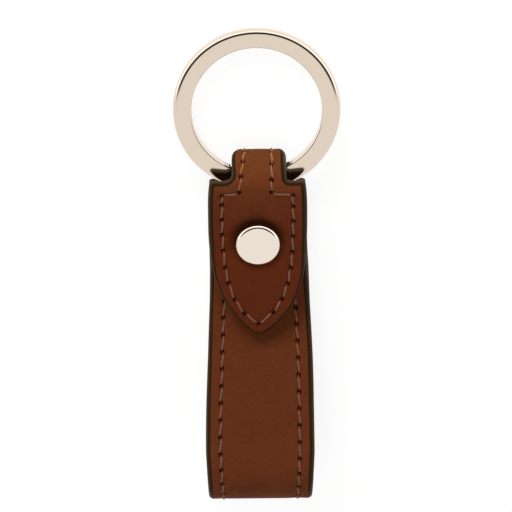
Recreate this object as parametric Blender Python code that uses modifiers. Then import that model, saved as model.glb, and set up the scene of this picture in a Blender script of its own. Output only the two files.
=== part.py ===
"""Leather key holder: a strap folded into a loop, closed by a press stud, with a split ring.

The strap lies on its back panel. X is its width, Y runs along it towards the ring and Z is up.
One strip of two plies makes the flap, the neck round the ring, the back panel, the bottom fold
and the front panel. The strap's outer face is followed by one arc length s: s is 0 where the back
panel meets the neck's bend, it grows over the neck to the flap's tip, and it falls below 0 along
the back panel, round the bottom fold and up the front panel.
"""

import math

import bmesh
import bpy
from mathutils import Matrix, Vector

MM = 0.001

# Leather
OUTER_PLY = 1.2 * MM
LINING_PLY = 1.2 * MM
PLY_CLEARANCE = 0.1 * MM
JOIN_CLEARANCE = 0.1 * MM
EDGE_ROUNDING = 0.9 * MM
EDGE_STEPS = 3
ARC_STEP = math.radians(11)
LINE_STEP = 9 * MM
STATION_MERGE = JOIN_CLEARANCE / 2
WELD_DISTANCE = PLY_CLEARANCE / 100

# Neck, the narrow bend that carries the ring
NECK_RADIUS = 6.5 * MM
NECK_WIDTH = 11 * MM
NECK_FILLET = 1.5 * MM
NECK_END_ANGLE = math.radians(155)
FLAP_AXIS_ANGLE = math.radians(140)
BACK_SHOULDER_DROP = 2.6 * MM

# Flap
FLAP_SLOPE = math.radians(5)
FLAP_DIP_RADIUS = 50 * MM
FLAP_TIP_RUN = 16.4 * MM
FLAP_SHOULDER_WIDTH = 20 * MM
FLAP_WIDTH = 20.8 * MM
FLAP_SHOULDER_LENGTH = 7 * MM
FLAP_ARCH_LENGTH = 26 * MM
FLAP_TIP_WIDTH = 1.9 * MM
ARCH_ROUND_SHARE = 0.63
ARCH_ROUND_POWER = 2
ARCH_POINT_POWER = 6
ARCH_STATION_SHARES = (0.2, 0.35, 0.5, 0.62, 0.72, 0.8, 0.87, 0.93, 0.97)
FILLET_STATION_SHARES = (0.06, 0.3, 0.65)

# Panels and bottom fold
PANEL_TOP_WIDTH = 20.3 * MM
PANEL_FOLD_WIDTH = 23.1 * MM
PANEL_CORNER = 0.6 * MM
BACK_GROWTH_POWER = 1.4
BACK_LENGTH = 62 * MM
FOLD_RADIUS = 11 * MM
FOLD_NARROWING = 1.1 * MM
FRONT_BEND_RADIUS = 30 * MM
FRONT_END_RUN = 13.5 * MM
FRONT_END_PAST_SNAP = 8.34 * MM
EYELET_TO_BACK = 0.55 * MM

# Stitching
THREAD_DIAMETER = 0.55 * MM
THREAD_CLEARANCE = 0.1 * MM
THREAD_HOLE_DEPTH = 0.5 * MM
THREAD_CROWN_DEPTH = 0.3 * MM
STITCH_PITCH = 3.6 * MM
STITCH_INSET = 3.1 * MM
FLAP_STITCH_INSET = 2.9 * MM
TIP_STITCH_INSET = 1.95 * MM
INSET_TAPER_FROM_TIP = 8 * MM
INSET_TAPER_LENGTH = 14 * MM
TIP_HOLE_INSET = 2.4 * MM
TIP_STITCH_DROP = 2 * MM
NECK_STITCH_INSET = 2.4 * MM
NECK_ROW_OVERRUN = 2.7 * MM
STITCH_STEP_LENGTH = 3.4 * MM
STITCH_END_INSET = 2.1 * MM
THREAD_END_CLEARANCE = 0.2 * MM
ROUTE_SAMPLES = 40

# Press stud
SNAP_DISTANCE = 12.3 * MM
TURNED_STEPS = 32
CAP_DIAMETER = 9.4 * MM
CAP_HEIGHT = 1.25 * MM
CAP_ROUNDING = 0.6 * MM
CAP_SEAT_DEPTH = 0.15 * MM
METAL_CLEARANCE = 0.05 * MM
HOLE_CLEARANCE = 0.1 * MM
POST_DIAMETER = 2.4 * MM
POST_HEAD_DIAMETER = 3.4 * MM
POST_HEAD_THICKNESS = 0.2 * MM
SOCKET_DIAMETER = 8.6 * MM
SOCKET_RIM = 0.45 * MM
SOCKET_ROOF = 0.4 * MM
SOCKET_HEIGHT = 2.3 * MM
SOCKET_BARREL_DIAMETER = 6.8 * MM
SOCKET_MOUTH_DIAMETER = 4.7 * MM
SOCKET_MOUTH_LIP = 0.45 * MM
SOCKET_CHAMFER = 0.3 * MM
SPRING_WIRE = 0.4 * MM
SPRING_PROTRUSION = 0.12 * MM
SPRING_ANGLE = math.radians(300)
SPRING_STEPS = 24
STUD_BASE_DIAMETER = 8.6 * MM
STUD_BASE_THICKNESS = 0.45 * MM
STUD_HEAD_DIAMETER = 3.8 * MM
STUD_NECK_DIAMETER = 3.3 * MM
STUD_HEAD_CLEARANCE = 0.25 * MM
STUD_ROUNDING = 0.5 * MM
STUD_WALL = 0.2 * MM
STUD_BORE_SHARE = 0.6
EYELET_DIAMETER = 7.2 * MM
EYELET_FLANGE = 0.45 * MM
EYELET_WALL = 0.4 * MM
CUT_OVERRUN = 1 * MM

# Split ring
RING_DIAMETER = 35 * MM
RING_BAND = 3.9 * MM
RING_LAYER = 1.275 * MM
RING_GAP = 0.1 * MM
RING_ROUNDING = 0.35 * MM
RING_OPEN_ANGLE = math.radians(271)
RING_CROSSOVER = math.radians(25)
RING_STEP = math.radians(7.5)
ROUND_STEPS = 2

STRAP_THICKNESS = OUTER_PLY + PLY_CLEARANCE + LINING_PLY
FULL_TURN = 2 * math.pi

# The ring leans from the middle of the neck's bend down to the surface that the back lies on
RING_MEAN_RADIUS = (RING_DIAMETER - RING_BAND) / 2
RING_THICKNESS = 2 * RING_LAYER + RING_GAP
RING_REACH = RING_MEAN_RADIUS + RING_DIAMETER / 2
RING_LEAN = math.asin(NECK_RADIUS / math.hypot(RING_REACH, RING_THICKNESS / 2)) - math.atan2(
    RING_THICKNESS / 2, RING_REACH
)

# The origin lies under the middle of the whole length
FAR_END = RING_REACH * math.cos(RING_LEAN) + RING_THICKNESS / 2 * math.sin(RING_LEAN)
NEAR_END = BACK_LENGTH + FOLD_RADIUS
NECK_Y = (NEAR_END - FAR_END) / 2

# The front panel leaves the fold at the slope that brings its straight end over the back panel,
# one eyelet and a clearance above it, and past the press stud
FRONT_HEIGHT = 2 * STRAP_THICKNESS + METAL_CLEARANCE + EYELET_FLANGE + EYELET_TO_BACK
FRONT_BEND_END = BACK_LENGTH - SNAP_DISTANCE + FRONT_END_PAST_SNAP - FRONT_END_RUN
FRONT_BEND_RISE = FRONT_HEIGHT - FOLD_RADIUS + FRONT_BEND_RADIUS
FRONT_ROUNDS = FOLD_RADIUS + FRONT_BEND_RADIUS
FRONT_RUN = math.sqrt(FRONT_BEND_END**2 + FRONT_BEND_RISE**2 - FRONT_ROUNDS**2)
FRONT_SLOPE = math.atan2(FRONT_ROUNDS, FRONT_RUN) - math.atan2(FRONT_BEND_RISE, FRONT_BEND_END)

# Outer face of the strap as (length, bend) pairs, walked from the back panel's top both ways
DIP_LENGTH = 2 * FLAP_SLOPE * FLAP_DIP_RADIUS
FLAP_RUN = (
    SNAP_DISTANCE - (NECK_RADIUS + FLAP_DIP_RADIUS) * math.sin(FLAP_SLOPE)
) / math.cos(FLAP_SLOPE)
UPPER_WALK = (
    (NECK_RADIUS * (math.pi + FLAP_SLOPE), math.pi + FLAP_SLOPE),
    (FLAP_RUN, 0),
    (DIP_LENGTH, -2 * FLAP_SLOPE),
    (FLAP_TIP_RUN, 0),
)
LOWER_WALK = (
    (BACK_LENGTH, 0),
    (FOLD_RADIUS * (math.pi + FRONT_SLOPE), math.pi + FRONT_SLOPE),
    (FRONT_RUN, 0),
    (FRONT_BEND_RADIUS * FRONT_SLOPE, -FRONT_SLOPE),
    (FRONT_END_RUN, 0),
)
S_TIP = sum(length for length, bend in UPPER_WALK)
S_FLAP = NECK_RADIUS * NECK_END_ANGLE
S_BACK = -BACK_SHOULDER_DROP
S_FOLD = -BACK_LENGTH
S_FRONT = S_FOLD - LOWER_WALK[1][0]
S_FRONT_BEND = S_FRONT - FRONT_RUN
S_END = -sum(length for length, bend in LOWER_WALK)

# Joint axes, all along X: the neck's own middle line in front of the bend, the middle of the
# bottom fold, and the middle of the neck's bend
NECK_MIDDLE_RADIUS = NECK_RADIUS - STRAP_THICKNESS / 2
FLAP_AXIS = Vector(
    (
        0,
        NECK_Y + NECK_MIDDLE_RADIUS * math.sin(FLAP_AXIS_ANGLE),
        NECK_RADIUS - NECK_MIDDLE_RADIUS * math.cos(FLAP_AXIS_ANGLE),
    )
)
FRONT_AXIS = Vector((0, NECK_Y - BACK_LENGTH, FOLD_RADIUS))
RING_AXIS = Vector((0, NECK_Y, NECK_RADIUS))

LEATHER = ("brown_leather", (0.105, 0.030, 0.011), 0.55, 0)
LINING_LEATHER = ("lining_leather", (0.085, 0.030, 0.014), 0.65, 0)
THREAD = ("brown_thread", (0.22, 0.085, 0.05), 0.7, 0)
NICKEL = ("polished_nickel", (0.78, 0.70, 0.62), 0.15, 1)
SPRING_STEEL = ("spring_steel", (0.55, 0.54, 0.52), 0.3, 1)


def clear_scene():
    for obj in list(bpy.data.objects):
        bpy.data.objects.remove(obj, do_unlink=True)


def make_collection(name):
    collection = bpy.data.collections.new(name)
    bpy.context.scene.collection.children.link(collection)
    return collection


def set_material(obj, finish):
    name, colour, roughness, metallic = finish
    material = bpy.data.materials.get(name)
    if material is None:
        material = bpy.data.materials.new(name)
        material.use_nodes = True
        shader = material.node_tree.nodes["Principled BSDF"]
        shader.inputs["Base Color"].default_value = (*colour, 1)
        shader.inputs["Roughness"].default_value = roughness
        shader.inputs["Metallic"].default_value = metallic
    obj.data.materials.append(material)


def make_hinge(name, place):
    """An empty on a joint's axis, which carries the pieces that turn about it."""
    empty = bpy.data.objects.new(name, None)
    empty.location = place
    PARTS.objects.link(empty)
    bpy.context.view_layer.update()
    return empty


def carry(obj, hinge):
    obj.parent = hinge
    obj.matrix_parent_inverse = hinge.matrix_world.inverted()


def make_cutter(obj):
    obj.hide_render = True
    obj.display_type = "WIRE"
    return obj


def cut(obj, cutter):
    modifier = obj.modifiers.new(cutter.name, "BOOLEAN")
    modifier.operation = "DIFFERENCE"
    modifier.object = cutter


def strap_frame(s):
    """Point of the outer face at arc length s, as (y, z), and the direction that faces out."""
    walk, side, heading = (UPPER_WALK, 1, 0) if s >= 0 else (LOWER_WALK, -1, math.pi)
    y, z, left = NECK_Y, 0, abs(s)
    for length, bend in walk:
        run = min(left, length)
        left -= run
        inward = (-side * math.sin(heading), side * math.cos(heading))
        if bend:
            radius = length / bend
            y += inward[0] * radius
            z += inward[1] * radius
            heading += side * run / radius
            inward = (-side * math.sin(heading), side * math.cos(heading))
            y -= inward[0] * radius
            z -= inward[1] * radius
        else:
            y += math.cos(heading) * run
            z += math.sin(heading) * run
        if not left:
            break
    return (y, z), (-inward[0], -inward[1])


def strap_point(s, x, depth=0.0):
    """Point at arc length s, x across the strap and a depth below its outer face."""
    (y, z), (out_y, out_z) = strap_frame(s)
    return Vector((x, y - out_y * depth, z - out_z * depth))


def fillet(distance, radius):
    """How far a quarter round of this radius stands back at a distance from its end."""
    if distance >= radius:
        return 0.0
    return radius - math.sqrt(radius**2 - (radius - distance) ** 2)


def flap_half_width(s):
    half = FLAP_WIDTH / 2
    from_shoulder = s - S_FLAP
    spread = max(0.0, 1 - from_shoulder / FLAP_SHOULDER_LENGTH)
    half -= (FLAP_WIDTH - FLAP_SHOULDER_WIDTH) / 2 * spread**2
    half -= fillet(from_shoulder, PANEL_CORNER)
    along = max(0.0, 1 - (S_TIP - s) / FLAP_ARCH_LENGTH)
    round_part = ARCH_ROUND_SHARE * along**ARCH_ROUND_POWER
    point_part = (1 - ARCH_ROUND_SHARE) * along**ARCH_POINT_POWER
    return half - (FLAP_WIDTH - FLAP_TIP_WIDTH) / 2 * (round_part + point_part)


def neck_half_width(s):
    half = NECK_WIDTH / 2
    return half + fillet(min(S_FLAP - s, s - S_BACK), NECK_FILLET)


def panel_half_width(s):
    """Back and front panels widen towards the bottom fold, where the bend draws the strap in."""
    growth = (PANEL_FOLD_WIDTH - PANEL_TOP_WIDTH) / 2
    half = PANEL_TOP_WIDTH / 2
    if s >= S_FOLD:
        half += growth * ((S_BACK - s) / (S_BACK - S_FOLD)) ** BACK_GROWTH_POWER
        half -= fillet(S_BACK - s, PANEL_CORNER)
    elif s >= S_FRONT:
        bend = (S_FOLD - s) / (S_FOLD - S_FRONT)
        half += growth - FOLD_NARROWING / 2 * math.sin(bend * math.pi)
    else:
        taper_end = S_FRONT_BEND - FRONT_BEND_RADIUS * FRONT_SLOPE
        rise = max(0.0, (s - taper_end) / (S_FRONT - taper_end))
        half += growth * math.sin(rise * math.pi / 2)
        half -= fillet(s - S_END, PANEL_CORNER)
    return half


def half_width(s):
    if s >= S_FLAP:
        return flap_half_width(s)
    return neck_half_width(s) if s > S_BACK else panel_half_width(s)


def walk_stations(start, end):
    """Arc lengths between start and end: close together in bends, wider apart on the straights."""
    found = {start, end}
    for walk, side in ((UPPER_WALK, 1), (LOWER_WALK, -1)):
        at = 0.0
        for length, bend in walk:
            steps = math.ceil(abs(bend) / ARC_STEP) or math.ceil(length / LINE_STEP)
            for i in range(steps + 1):
                found.add(side * (at + length * i / steps))
            at += length
    return {s for s in found if start <= s <= end}


def thinned(stations):
    """The stations in order, without those that nearly repeat the one before."""
    kept = []
    for s in sorted(stations):
        if not kept or s - kept[-1] > STATION_MERGE:
            kept.append(s)
    kept[-1] = max(stations)
    return kept


def section(s, half, top, bottom, round_top):
    """Closed outline across the strap at s, with its top or its bottom edges rounded."""
    rounding = min(EDGE_ROUNDING, half / 2)
    near, far = (top, bottom) if round_top else (bottom, top)
    inward = rounding if round_top else -rounding
    corner = []
    for i in range(EDGE_STEPS + 1):
        turn = math.pi / 2 * i / EDGE_STEPS
        across = half - rounding * (1 - math.sin(turn))
        corner.append((across, near + inward * (1 - math.cos(turn))))
    corner.append((half, far))
    outline = corner + [(-across, depth) for across, depth in reversed(corner)]
    if not round_top:
        outline.reverse()
    return [strap_point(s, across, depth) for across, depth in outline]


def loft(name, sections):
    """A closed solid through sections of equally many points."""
    bm = bmesh.new()
    rings = [[bm.verts.new(point) for point in points] for points in sections]
    for ring, following in zip(rings, rings[1:]):
        for i, vert in enumerate(ring):
            before = i - 1
            bm.faces.new((ring[before], vert, following[i], following[before]))
    bm.faces.new(rings[0])
    bm.faces.new(list(reversed(rings[-1])))
    bmesh.ops.recalc_face_normals(bm, faces=bm.faces)
    mesh = bpy.data.meshes.new(name)
    bm.to_mesh(mesh)
    bm.free()
    obj = bpy.data.objects.new(name, mesh)
    PARTS.objects.link(obj)
    return obj


def make_plies(name, start, end, extra_stations=()):
    """The outer ply and the lining of one length of the strap."""
    start += JOIN_CLEARANCE / 2
    end -= JOIN_CLEARANCE / 2
    extra = {s for s in extra_stations if start < s < end}
    stations = thinned(walk_stations(start, end) | extra)
    outer = loft(
        name + "_outer",
        [section(s, half_width(s), 0.0, OUTER_PLY, True) for s in stations],
    )
    lining = loft(
        name + "_lining",
        [
            section(s, half_width(s), OUTER_PLY + PLY_CLEARANCE, STRAP_THICKNESS, False)
            for s in stations
        ],
    )
    set_material(outer, LEATHER)
    set_material(lining, LINING_LEATHER)
    return outer, lining


def evenly(points):
    """The points of a line in (s, x), taken again a whole number of stitches apart."""
    lengths = [math.dist(a, b) for a, b in zip(points, points[1:])]
    stitches = max(1, round(sum(lengths) / STITCH_PITCH))
    found = []
    for i in range(stitches):
        left = sum(lengths) * i / stitches
        for a, b, length in zip(points, points[1:], lengths):
            if left <= length:
                share = left / length
                found.append((a[0] + (b[0] - a[0]) * share, a[1] + (b[1] - a[1]) * share))
                break
            left -= length
    return found


def between(start, end, function):
    """Samples (s, x) of a line along the strap."""
    run = [start + (end - start) * i / ROUTE_SAMPLES for i in range(ROUTE_SAMPLES + 1)]
    return [(s, function(s)) for s in run]


def flap_inset(s):
    """Distance of the flap's stitch line from the edge: it narrows towards the point."""
    share = min(1.0, max(0.0, (S_TIP - s - INSET_TAPER_FROM_TIP) / INSET_TAPER_LENGTH))
    return TIP_STITCH_INSET + (FLAP_STITCH_INSET - TIP_STITCH_INSET) * share


def flap_line():
    """Stitch line of one side of the flap, from the point's middle to the flap's shoulder."""
    step_end = S_FLAP + STITCH_STEP_LENGTH
    tip_hole = S_TIP - TIP_HOLE_INSET
    line = [(tip_hole, 0.0)]
    for s, half in between(S_TIP, step_end, half_width):
        ahead = half_width(s - STATION_MERGE)
        slope = math.atan2(ahead - half, STATION_MERGE)
        inset = flap_inset(s)
        place = (s - inset * math.sin(slope), half - inset * math.cos(slope))
        if step_end < place[0] < tip_hole - TIP_STITCH_DROP:
            line.append(place)
    return line + [(step_end, line[-1][1])]


def stitch_holes():
    """Needle holes of the right half in (s, x), from the flap's point to the front's end."""
    flap = flap_line()
    neck_x = NECK_WIDTH / 2 - NECK_STITCH_INSET
    neck_top = (S_FLAP + NECK_ROW_OVERRUN, neck_x)
    neck_bottom = (S_BACK - NECK_ROW_OVERRUN, neck_x)
    back_top_s = S_BACK - STITCH_STEP_LENGTH
    front_end_s = S_END + STITCH_END_INSET

    def panel_x(s):
        return panel_half_width(s) - STITCH_INSET

    panel = between(back_top_s, front_end_s, panel_x)
    holes = evenly(flap)
    holes += evenly([flap[-1], neck_top])
    holes += evenly([neck_top, neck_bottom])
    holes += evenly([neck_bottom, panel[0]])
    holes += evenly(panel)
    holes += evenly([panel[-1], (front_end_s, 0.0)])
    holes.append((front_end_s, 0.0))
    return holes


def stitch_loop():
    """Points (s, x, depth) of the whole closed stitch line: each hole, then the stitch's crown."""
    right = stitch_holes()
    left = [(s, -x) for s, x in reversed(right[1:-1])]
    holes = right + left
    loop = []
    for (s, x), (next_s, next_x) in zip(holes, holes[1:] + holes[:1]):
        loop.append((s, x, THREAD_HOLE_DEPTH))
        loop.append(((s + next_s) / 2, (x + next_x) / 2, THREAD_CROWN_DEPTH))
    return loop


def make_tube(name, points, radius, collection, cyclic=False):
    curve = bpy.data.curves.new(name, "CURVE")
    curve.dimensions = "3D"
    curve.bevel_depth = radius
    curve.bevel_resolution = 1
    curve.use_fill_caps = not cyclic
    spline = curve.splines.new("POLY")
    spline.points.add(len(points) - 1)
    for point, place in zip(spline.points, points):
        point.co = (*place, 1)
    spline.use_cyclic_u = cyclic
    obj = bpy.data.objects.new(name, curve)
    collection.objects.link(obj)
    return obj


def meshed(obj, collection):
    """The curve object as a welded mesh object of the same name."""
    bpy.context.view_layer.update()
    graph = bpy.context.evaluated_depsgraph_get()
    mesh = bpy.data.meshes.new_from_object(obj.evaluated_get(graph))
    bm = bmesh.new()
    bm.from_mesh(mesh)
    bmesh.ops.remove_doubles(bm, verts=bm.verts, dist=WELD_DISTANCE)
    bmesh.ops.recalc_face_normals(bm, faces=bm.faces)
    bm.to_mesh(mesh)
    bm.free()
    name, world = obj.name, obj.matrix_world.copy()
    bpy.data.objects.remove(obj, do_unlink=True)
    made = bpy.data.objects.new(name, mesh)
    made.matrix_world = world
    collection.objects.link(made)
    return made


def thread_run(name, loop, start, end, side):
    """The part of the stitch line between two arc lengths, on one side or right round an end."""
    start += THREAD_END_CLEARANCE
    end -= THREAD_END_CLEARANCE
    count = len(loop)

    def held(point):
        return start < point[0] < end and side * point[1] >= 0

    first = next(i for i in range(count) if held(loop[i]) and not held(loop[i - 1]))
    run = [loop[first - 1]]
    while held(loop[(first + len(run) - 1) % count]):
        run.append(loop[(first + len(run) - 1) % count])
    run.append(loop[(first + len(run) - 1) % count])
    ends = []
    for inner, outer in ((run[1], run[0]), (run[-2], run[-1])):
        limit = start if outer[0] <= start else end
        share = (limit - inner[0]) / (outer[0] - inner[0])
        ends.append(tuple(a + (b - a) * share for a, b in zip(inner, outer)))
    points = [ends[0]] + run[1:-1] + [ends[1]]
    obj = make_tube(name, [strap_point(*p) for p in points], THREAD_DIAMETER / 2, PARTS)
    set_material(obj, THREAD)
    return obj


def turn(name, profile, place, collection):
    """A turned piece: the profile runs down its outer side, as (radius, height)."""
    mesh = bpy.data.meshes.new(name)
    edges = [(i, (i + 1) % len(profile)) for i in range(len(profile))]
    if not profile[0][0] and not profile[-1][0]:
        edges.pop()
    mesh.from_pydata([(r, 0, z) for r, z in profile], edges, [])
    obj = bpy.data.objects.new(name, mesh)
    obj.location = place
    screw = obj.modifiers.new("turn", "SCREW")
    screw.steps = TURNED_STEPS
    screw.render_steps = TURNED_STEPS
    screw.use_merge_vertices = True
    screw.merge_threshold = WELD_DISTANCE
    screw.use_smooth_shade = False
    collection.objects.link(obj)
    return obj


def quarter(radius_at, height_at, rounding, start, end, steps):
    """Points of a round corner about (radius_at, height_at), from one angle to another."""
    angles = [start + (end - start) * i / steps for i in range(steps + 1)]
    return [
        (radius_at + rounding * math.sin(a), height_at + rounding * math.cos(a)) for a in angles
    ]


def bore_cutter(name, radius, y, low, high):
    """A round cutter along Z."""
    profile = [(0, high), (radius, high), (radius, low), (0, low)]
    return make_cutter(turn(name, profile, (0, y, 0), CUTTERS))


def make_split_ring():
    """Flat wire wound nearly twice round: the upper turn crosses down to the lower one."""
    rise = RING_LAYER + RING_GAP
    total = 2 * FULL_TURN - RING_CROSSOVER
    steps = math.ceil(total / RING_STEP)
    crossing = FULL_TURN - RING_CROSSOVER
    points = []
    for i in range(steps + 1):
        turned = total * i / steps
        along = min(1.0, max(0.0, (turned - crossing) / RING_CROSSOVER))
        drop = along * along * (3 - 2 * along)
        angle = RING_OPEN_ANGLE + turned
        place = Vector((math.cos(angle), math.sin(angle), 0)) * RING_MEAN_RADIUS
        place.z = rise * (0.5 - drop)
        points.append(place)
    profile = bpy.data.curves.new("ring_profile", "CURVE")
    profile.dimensions = "2D"
    outline = profile.splines.new("POLY")
    corners = []
    wide = RING_BAND / 2 - RING_ROUNDING
    thick = RING_LAYER / 2 - RING_ROUNDING
    for i, (x, y) in enumerate(((wide, thick), (-wide, thick), (-wide, -thick), (wide, -thick))):
        for j in range(ROUND_STEPS + 1):
            angle = (i + j / ROUND_STEPS) * math.pi / 2
            corner = Vector((math.cos(angle), math.sin(angle))) * RING_ROUNDING
            corners.append((x + corner.x, y + corner.y))
    outline.points.add(len(corners) - 1)
    for point, (x, y) in zip(outline.points, corners):
        point.co = (x, y, 0, 1)
    outline.use_cyclic_u = True
    profile_object = bpy.data.objects.new("ring_profile", profile)
    CUTTERS.objects.link(profile_object)
    make_cutter(profile_object)
    ring = make_tube("split_ring", points, 0, PARTS)
    ring.data.bevel_mode = "OBJECT"
    ring.data.bevel_object = profile_object
    ring.data.twist_mode = "Z_UP"
    centre = Vector((0, RING_MEAN_RADIUS, 0))
    lean = Matrix.Rotation(-RING_LEAN, 4, "X")
    ring.matrix_world = Matrix.Translation(RING_AXIS) @ lean @ Matrix.Translation(centre)
    ring = meshed(ring, PARTS)
    set_material(ring, NICKEL)
    return ring


def make_cap(seat, snap_y, socket_roof):
    """Cap with its post, which runs through the flap and is spread under the socket's roof."""
    base = seat + METAL_CLEARANCE
    top = base + CAP_HEIGHT
    radius = CAP_DIAMETER / 2
    post = POST_DIAMETER / 2
    head = POST_HEAD_DIAMETER / 2
    head_top = socket_roof - METAL_CLEARANCE
    profile = [(0, top)]
    profile += quarter(
        radius - CAP_ROUNDING, top - CAP_ROUNDING, CAP_ROUNDING, 0, math.pi / 2, 2 * ROUND_STEPS
    )
    profile += [(radius, base), (post, base), (post, head_top), (head, head_top)]
    profile += [(head, head_top - POST_HEAD_THICKNESS), (0, head_top - POST_HEAD_THICKNESS)]
    cap = turn("snap_cap", profile, (0, snap_y, 0), PARTS)
    set_material(cap, NICKEL)
    return cap


def make_socket(top, snap_y):
    """Socket under the flap: a roof for the cap's post, a chamber for the spring and a mouth."""
    roof = top - SOCKET_ROOF
    mouth = top - SOCKET_HEIGHT
    rim = SOCKET_DIAMETER / 2
    barrel = SOCKET_BARREL_DIAMETER / 2
    bore = SOCKET_MOUTH_DIAMETER / 2
    chamber = barrel - SOCKET_RIM
    post = POST_DIAMETER / 2 + METAL_CLEARANCE
    ledge = mouth + SOCKET_MOUTH_LIP
    profile = [(post, top), (rim, top), (rim, top - SOCKET_RIM), (barrel, top - SOCKET_RIM)]
    profile += [(barrel, mouth + SOCKET_CHAMFER), (barrel - SOCKET_CHAMFER, mouth), (bore, mouth)]
    profile += [(bore, ledge), (chamber, ledge), (chamber, roof), (post, roof)]
    socket = turn("snap_socket", profile, (0, snap_y, 0), PARTS)
    set_material(socket, NICKEL)
    return socket


def make_spring(socket_top, snap_y):
    """Open ring of spring wire in the socket's chamber, which grips the stud's neck."""
    wire = SPRING_WIRE / 2
    radius = SOCKET_MOUTH_DIAMETER / 2 - SPRING_PROTRUSION + wire
    height = socket_top - SOCKET_HEIGHT + SOCKET_MOUTH_LIP + METAL_CLEARANCE + wire
    points = []
    for i in range(SPRING_STEPS + 1):
        angle = SPRING_ANGLE * i / SPRING_STEPS
        points.append((radius * math.cos(angle), snap_y + radius * math.sin(angle), height))
    spring = make_tube("socket_spring", points, wire, PARTS)
    set_material(spring, SPRING_STEEL)
    return spring


def make_stud(base, top, snap_y):
    """Stud on the front panel: a flange, a neck and a rounded head, hollow for the eyelet."""
    flange = base + STUD_BASE_THICKNESS
    rim = STUD_BASE_DIAMETER / 2
    neck = STUD_NECK_DIAMETER / 2
    head = STUD_HEAD_DIAMETER / 2
    bore = neck - STUD_WALL
    bore_top = base + (top - base) * STUD_BORE_SHARE
    shoulder = flange + (top - STUD_ROUNDING - flange) / 2
    profile = [(0, top)]
    profile += quarter(
        head - STUD_ROUNDING, top - STUD_ROUNDING, STUD_ROUNDING, 0, math.pi / 2, 2 * ROUND_STEPS
    )
    profile += [(neck, shoulder), (neck, flange), (rim, flange), (rim, base), (bore, base)]
    profile += [(bore, bore_top), (0, bore_top)]
    stud = turn("snap_stud", profile, (0, snap_y, 0), PARTS)
    set_material(stud, NICKEL)
    return stud, bore, bore_top


def make_eyelet(top, barrel, barrel_top, snap_y):
    """Eyelet under the front panel: a flange and a hollow barrel up into the stud."""
    rim = EYELET_DIAMETER / 2
    low = top - EYELET_FLANGE
    bore = barrel - EYELET_WALL
    profile = [(bore, barrel_top), (barrel, barrel_top), (barrel, top), (rim, top)]
    profile += [(rim, low), (bore, low)]
    eyelet = turn("snap_eyelet", profile, (0, snap_y, 0), PARTS)
    set_material(eyelet, NICKEL)
    return eyelet


def make_strap():
    """The five lengths of the strap with their grooves, and the thread in them."""
    arch = [S_TIP - FLAP_ARCH_LENGTH * (1 - share) for share in ARCH_STATION_SHARES]
    shoulder = [S_FLAP + PANEL_CORNER * share for share in FILLET_STATION_SHARES + (1,)]
    neck_ends = [S_FLAP - NECK_FILLET * share for share in FILLET_STATION_SHARES + (1,)]
    neck_ends += [S_BACK + NECK_FILLET * share for share in FILLET_STATION_SHARES + (1,)]
    back_end = [S_BACK - PANEL_CORNER * share for share in FILLET_STATION_SHARES + (1,)]
    front_end = [S_END + PANEL_CORNER * share for share in FILLET_STATION_SHARES + (1,)]
    plies = {
        "flap": make_plies("flap", S_FLAP, S_TIP, arch + shoulder),
        "neck": make_plies("neck", S_BACK, S_FLAP, neck_ends),
        "back": make_plies("back", S_FOLD, S_BACK, back_end),
        "fold": make_plies("fold", S_FRONT, S_FOLD),
        "front": make_plies("front", S_END, S_FRONT, front_end),
    }
    loop = stitch_loop()
    groove_points = [strap_point(*point) for point in loop]
    groove_radius = THREAD_DIAMETER / 2 + THREAD_CLEARANCE
    groove = make_tube("stitch_groove", groove_points, groove_radius, CUTTERS, cyclic=True)
    groove = make_cutter(meshed(groove, CUTTERS))
    for outer, lining in plies.values():
        cut(outer, groove)
    threads = {"flap": [thread_run("flap_stitching", loop, S_FLAP, S_TIP, 0)]}
    threads["front"] = [thread_run("front_stitching", loop, S_END, S_FRONT, 0)]
    for name, start, end in (
        ("neck", S_BACK, S_FLAP),
        ("back", S_FOLD, S_BACK),
        ("fold", S_FRONT, S_FOLD),
    ):
        threads[name] = [
            thread_run(name + "_stitching_right", loop, start, end, 1),
            thread_run(name + "_stitching_left", loop, start, end, -1),
        ]
    return plies, threads


def make_press_stud(plies):
    """Cap, socket and spring on the flap; stud and eyelet on the front panel."""
    snap_y = NECK_Y - SNAP_DISTANCE
    flap_top = strap_point(S_TIP - FLAP_TIP_RUN - DIP_LENGTH / 2, 0).z
    front_top = strap_point(S_END, 0).z
    seat = flap_top - CAP_SEAT_DEPTH
    socket_top = flap_top - STRAP_THICKNESS - METAL_CLEARANCE
    socket_roof = socket_top - SOCKET_ROOF
    post_end = socket_roof - METAL_CLEARANCE - POST_HEAD_THICKNESS
    stud_base = front_top + METAL_CLEARANCE
    cap = make_cap(seat, snap_y, socket_roof)
    socket = make_socket(socket_top, snap_y)
    spring = make_spring(socket_top, snap_y)
    stud_top = post_end - STUD_HEAD_CLEARANCE
    stud, bore, bore_top = make_stud(stud_base, stud_top, snap_y)
    eyelet_top = front_top - STRAP_THICKNESS - METAL_CLEARANCE
    barrel = bore - METAL_CLEARANCE
    eyelet = make_eyelet(eyelet_top, barrel, bore_top - METAL_CLEARANCE, snap_y)
    high = flap_top + CUT_OVERRUN
    low = flap_top - STRAP_THICKNESS - CUT_OVERRUN
    post_hole = bore_cutter("post_hole", POST_DIAMETER / 2 + HOLE_CLEARANCE, snap_y, low, high)
    seat_radius = CAP_DIAMETER / 2 + HOLE_CLEARANCE
    cap_seat = bore_cutter("cap_seat", seat_radius, snap_y, seat, high)
    front_low = front_top - STRAP_THICKNESS - CUT_OVERRUN
    front_high = front_top + CUT_OVERRUN
    barrel_hole = bore_cutter(
        "barrel_hole", barrel + HOLE_CLEARANCE, snap_y, front_low, front_high
    )
    for ply in plies["flap"]:
        cut(ply, post_hole)
    cut(plies["flap"][0], cap_seat)
    for ply in plies["front"]:
        cut(ply, barrel_hole)
    return (cap, socket, spring), (stud, eyelet)


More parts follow.
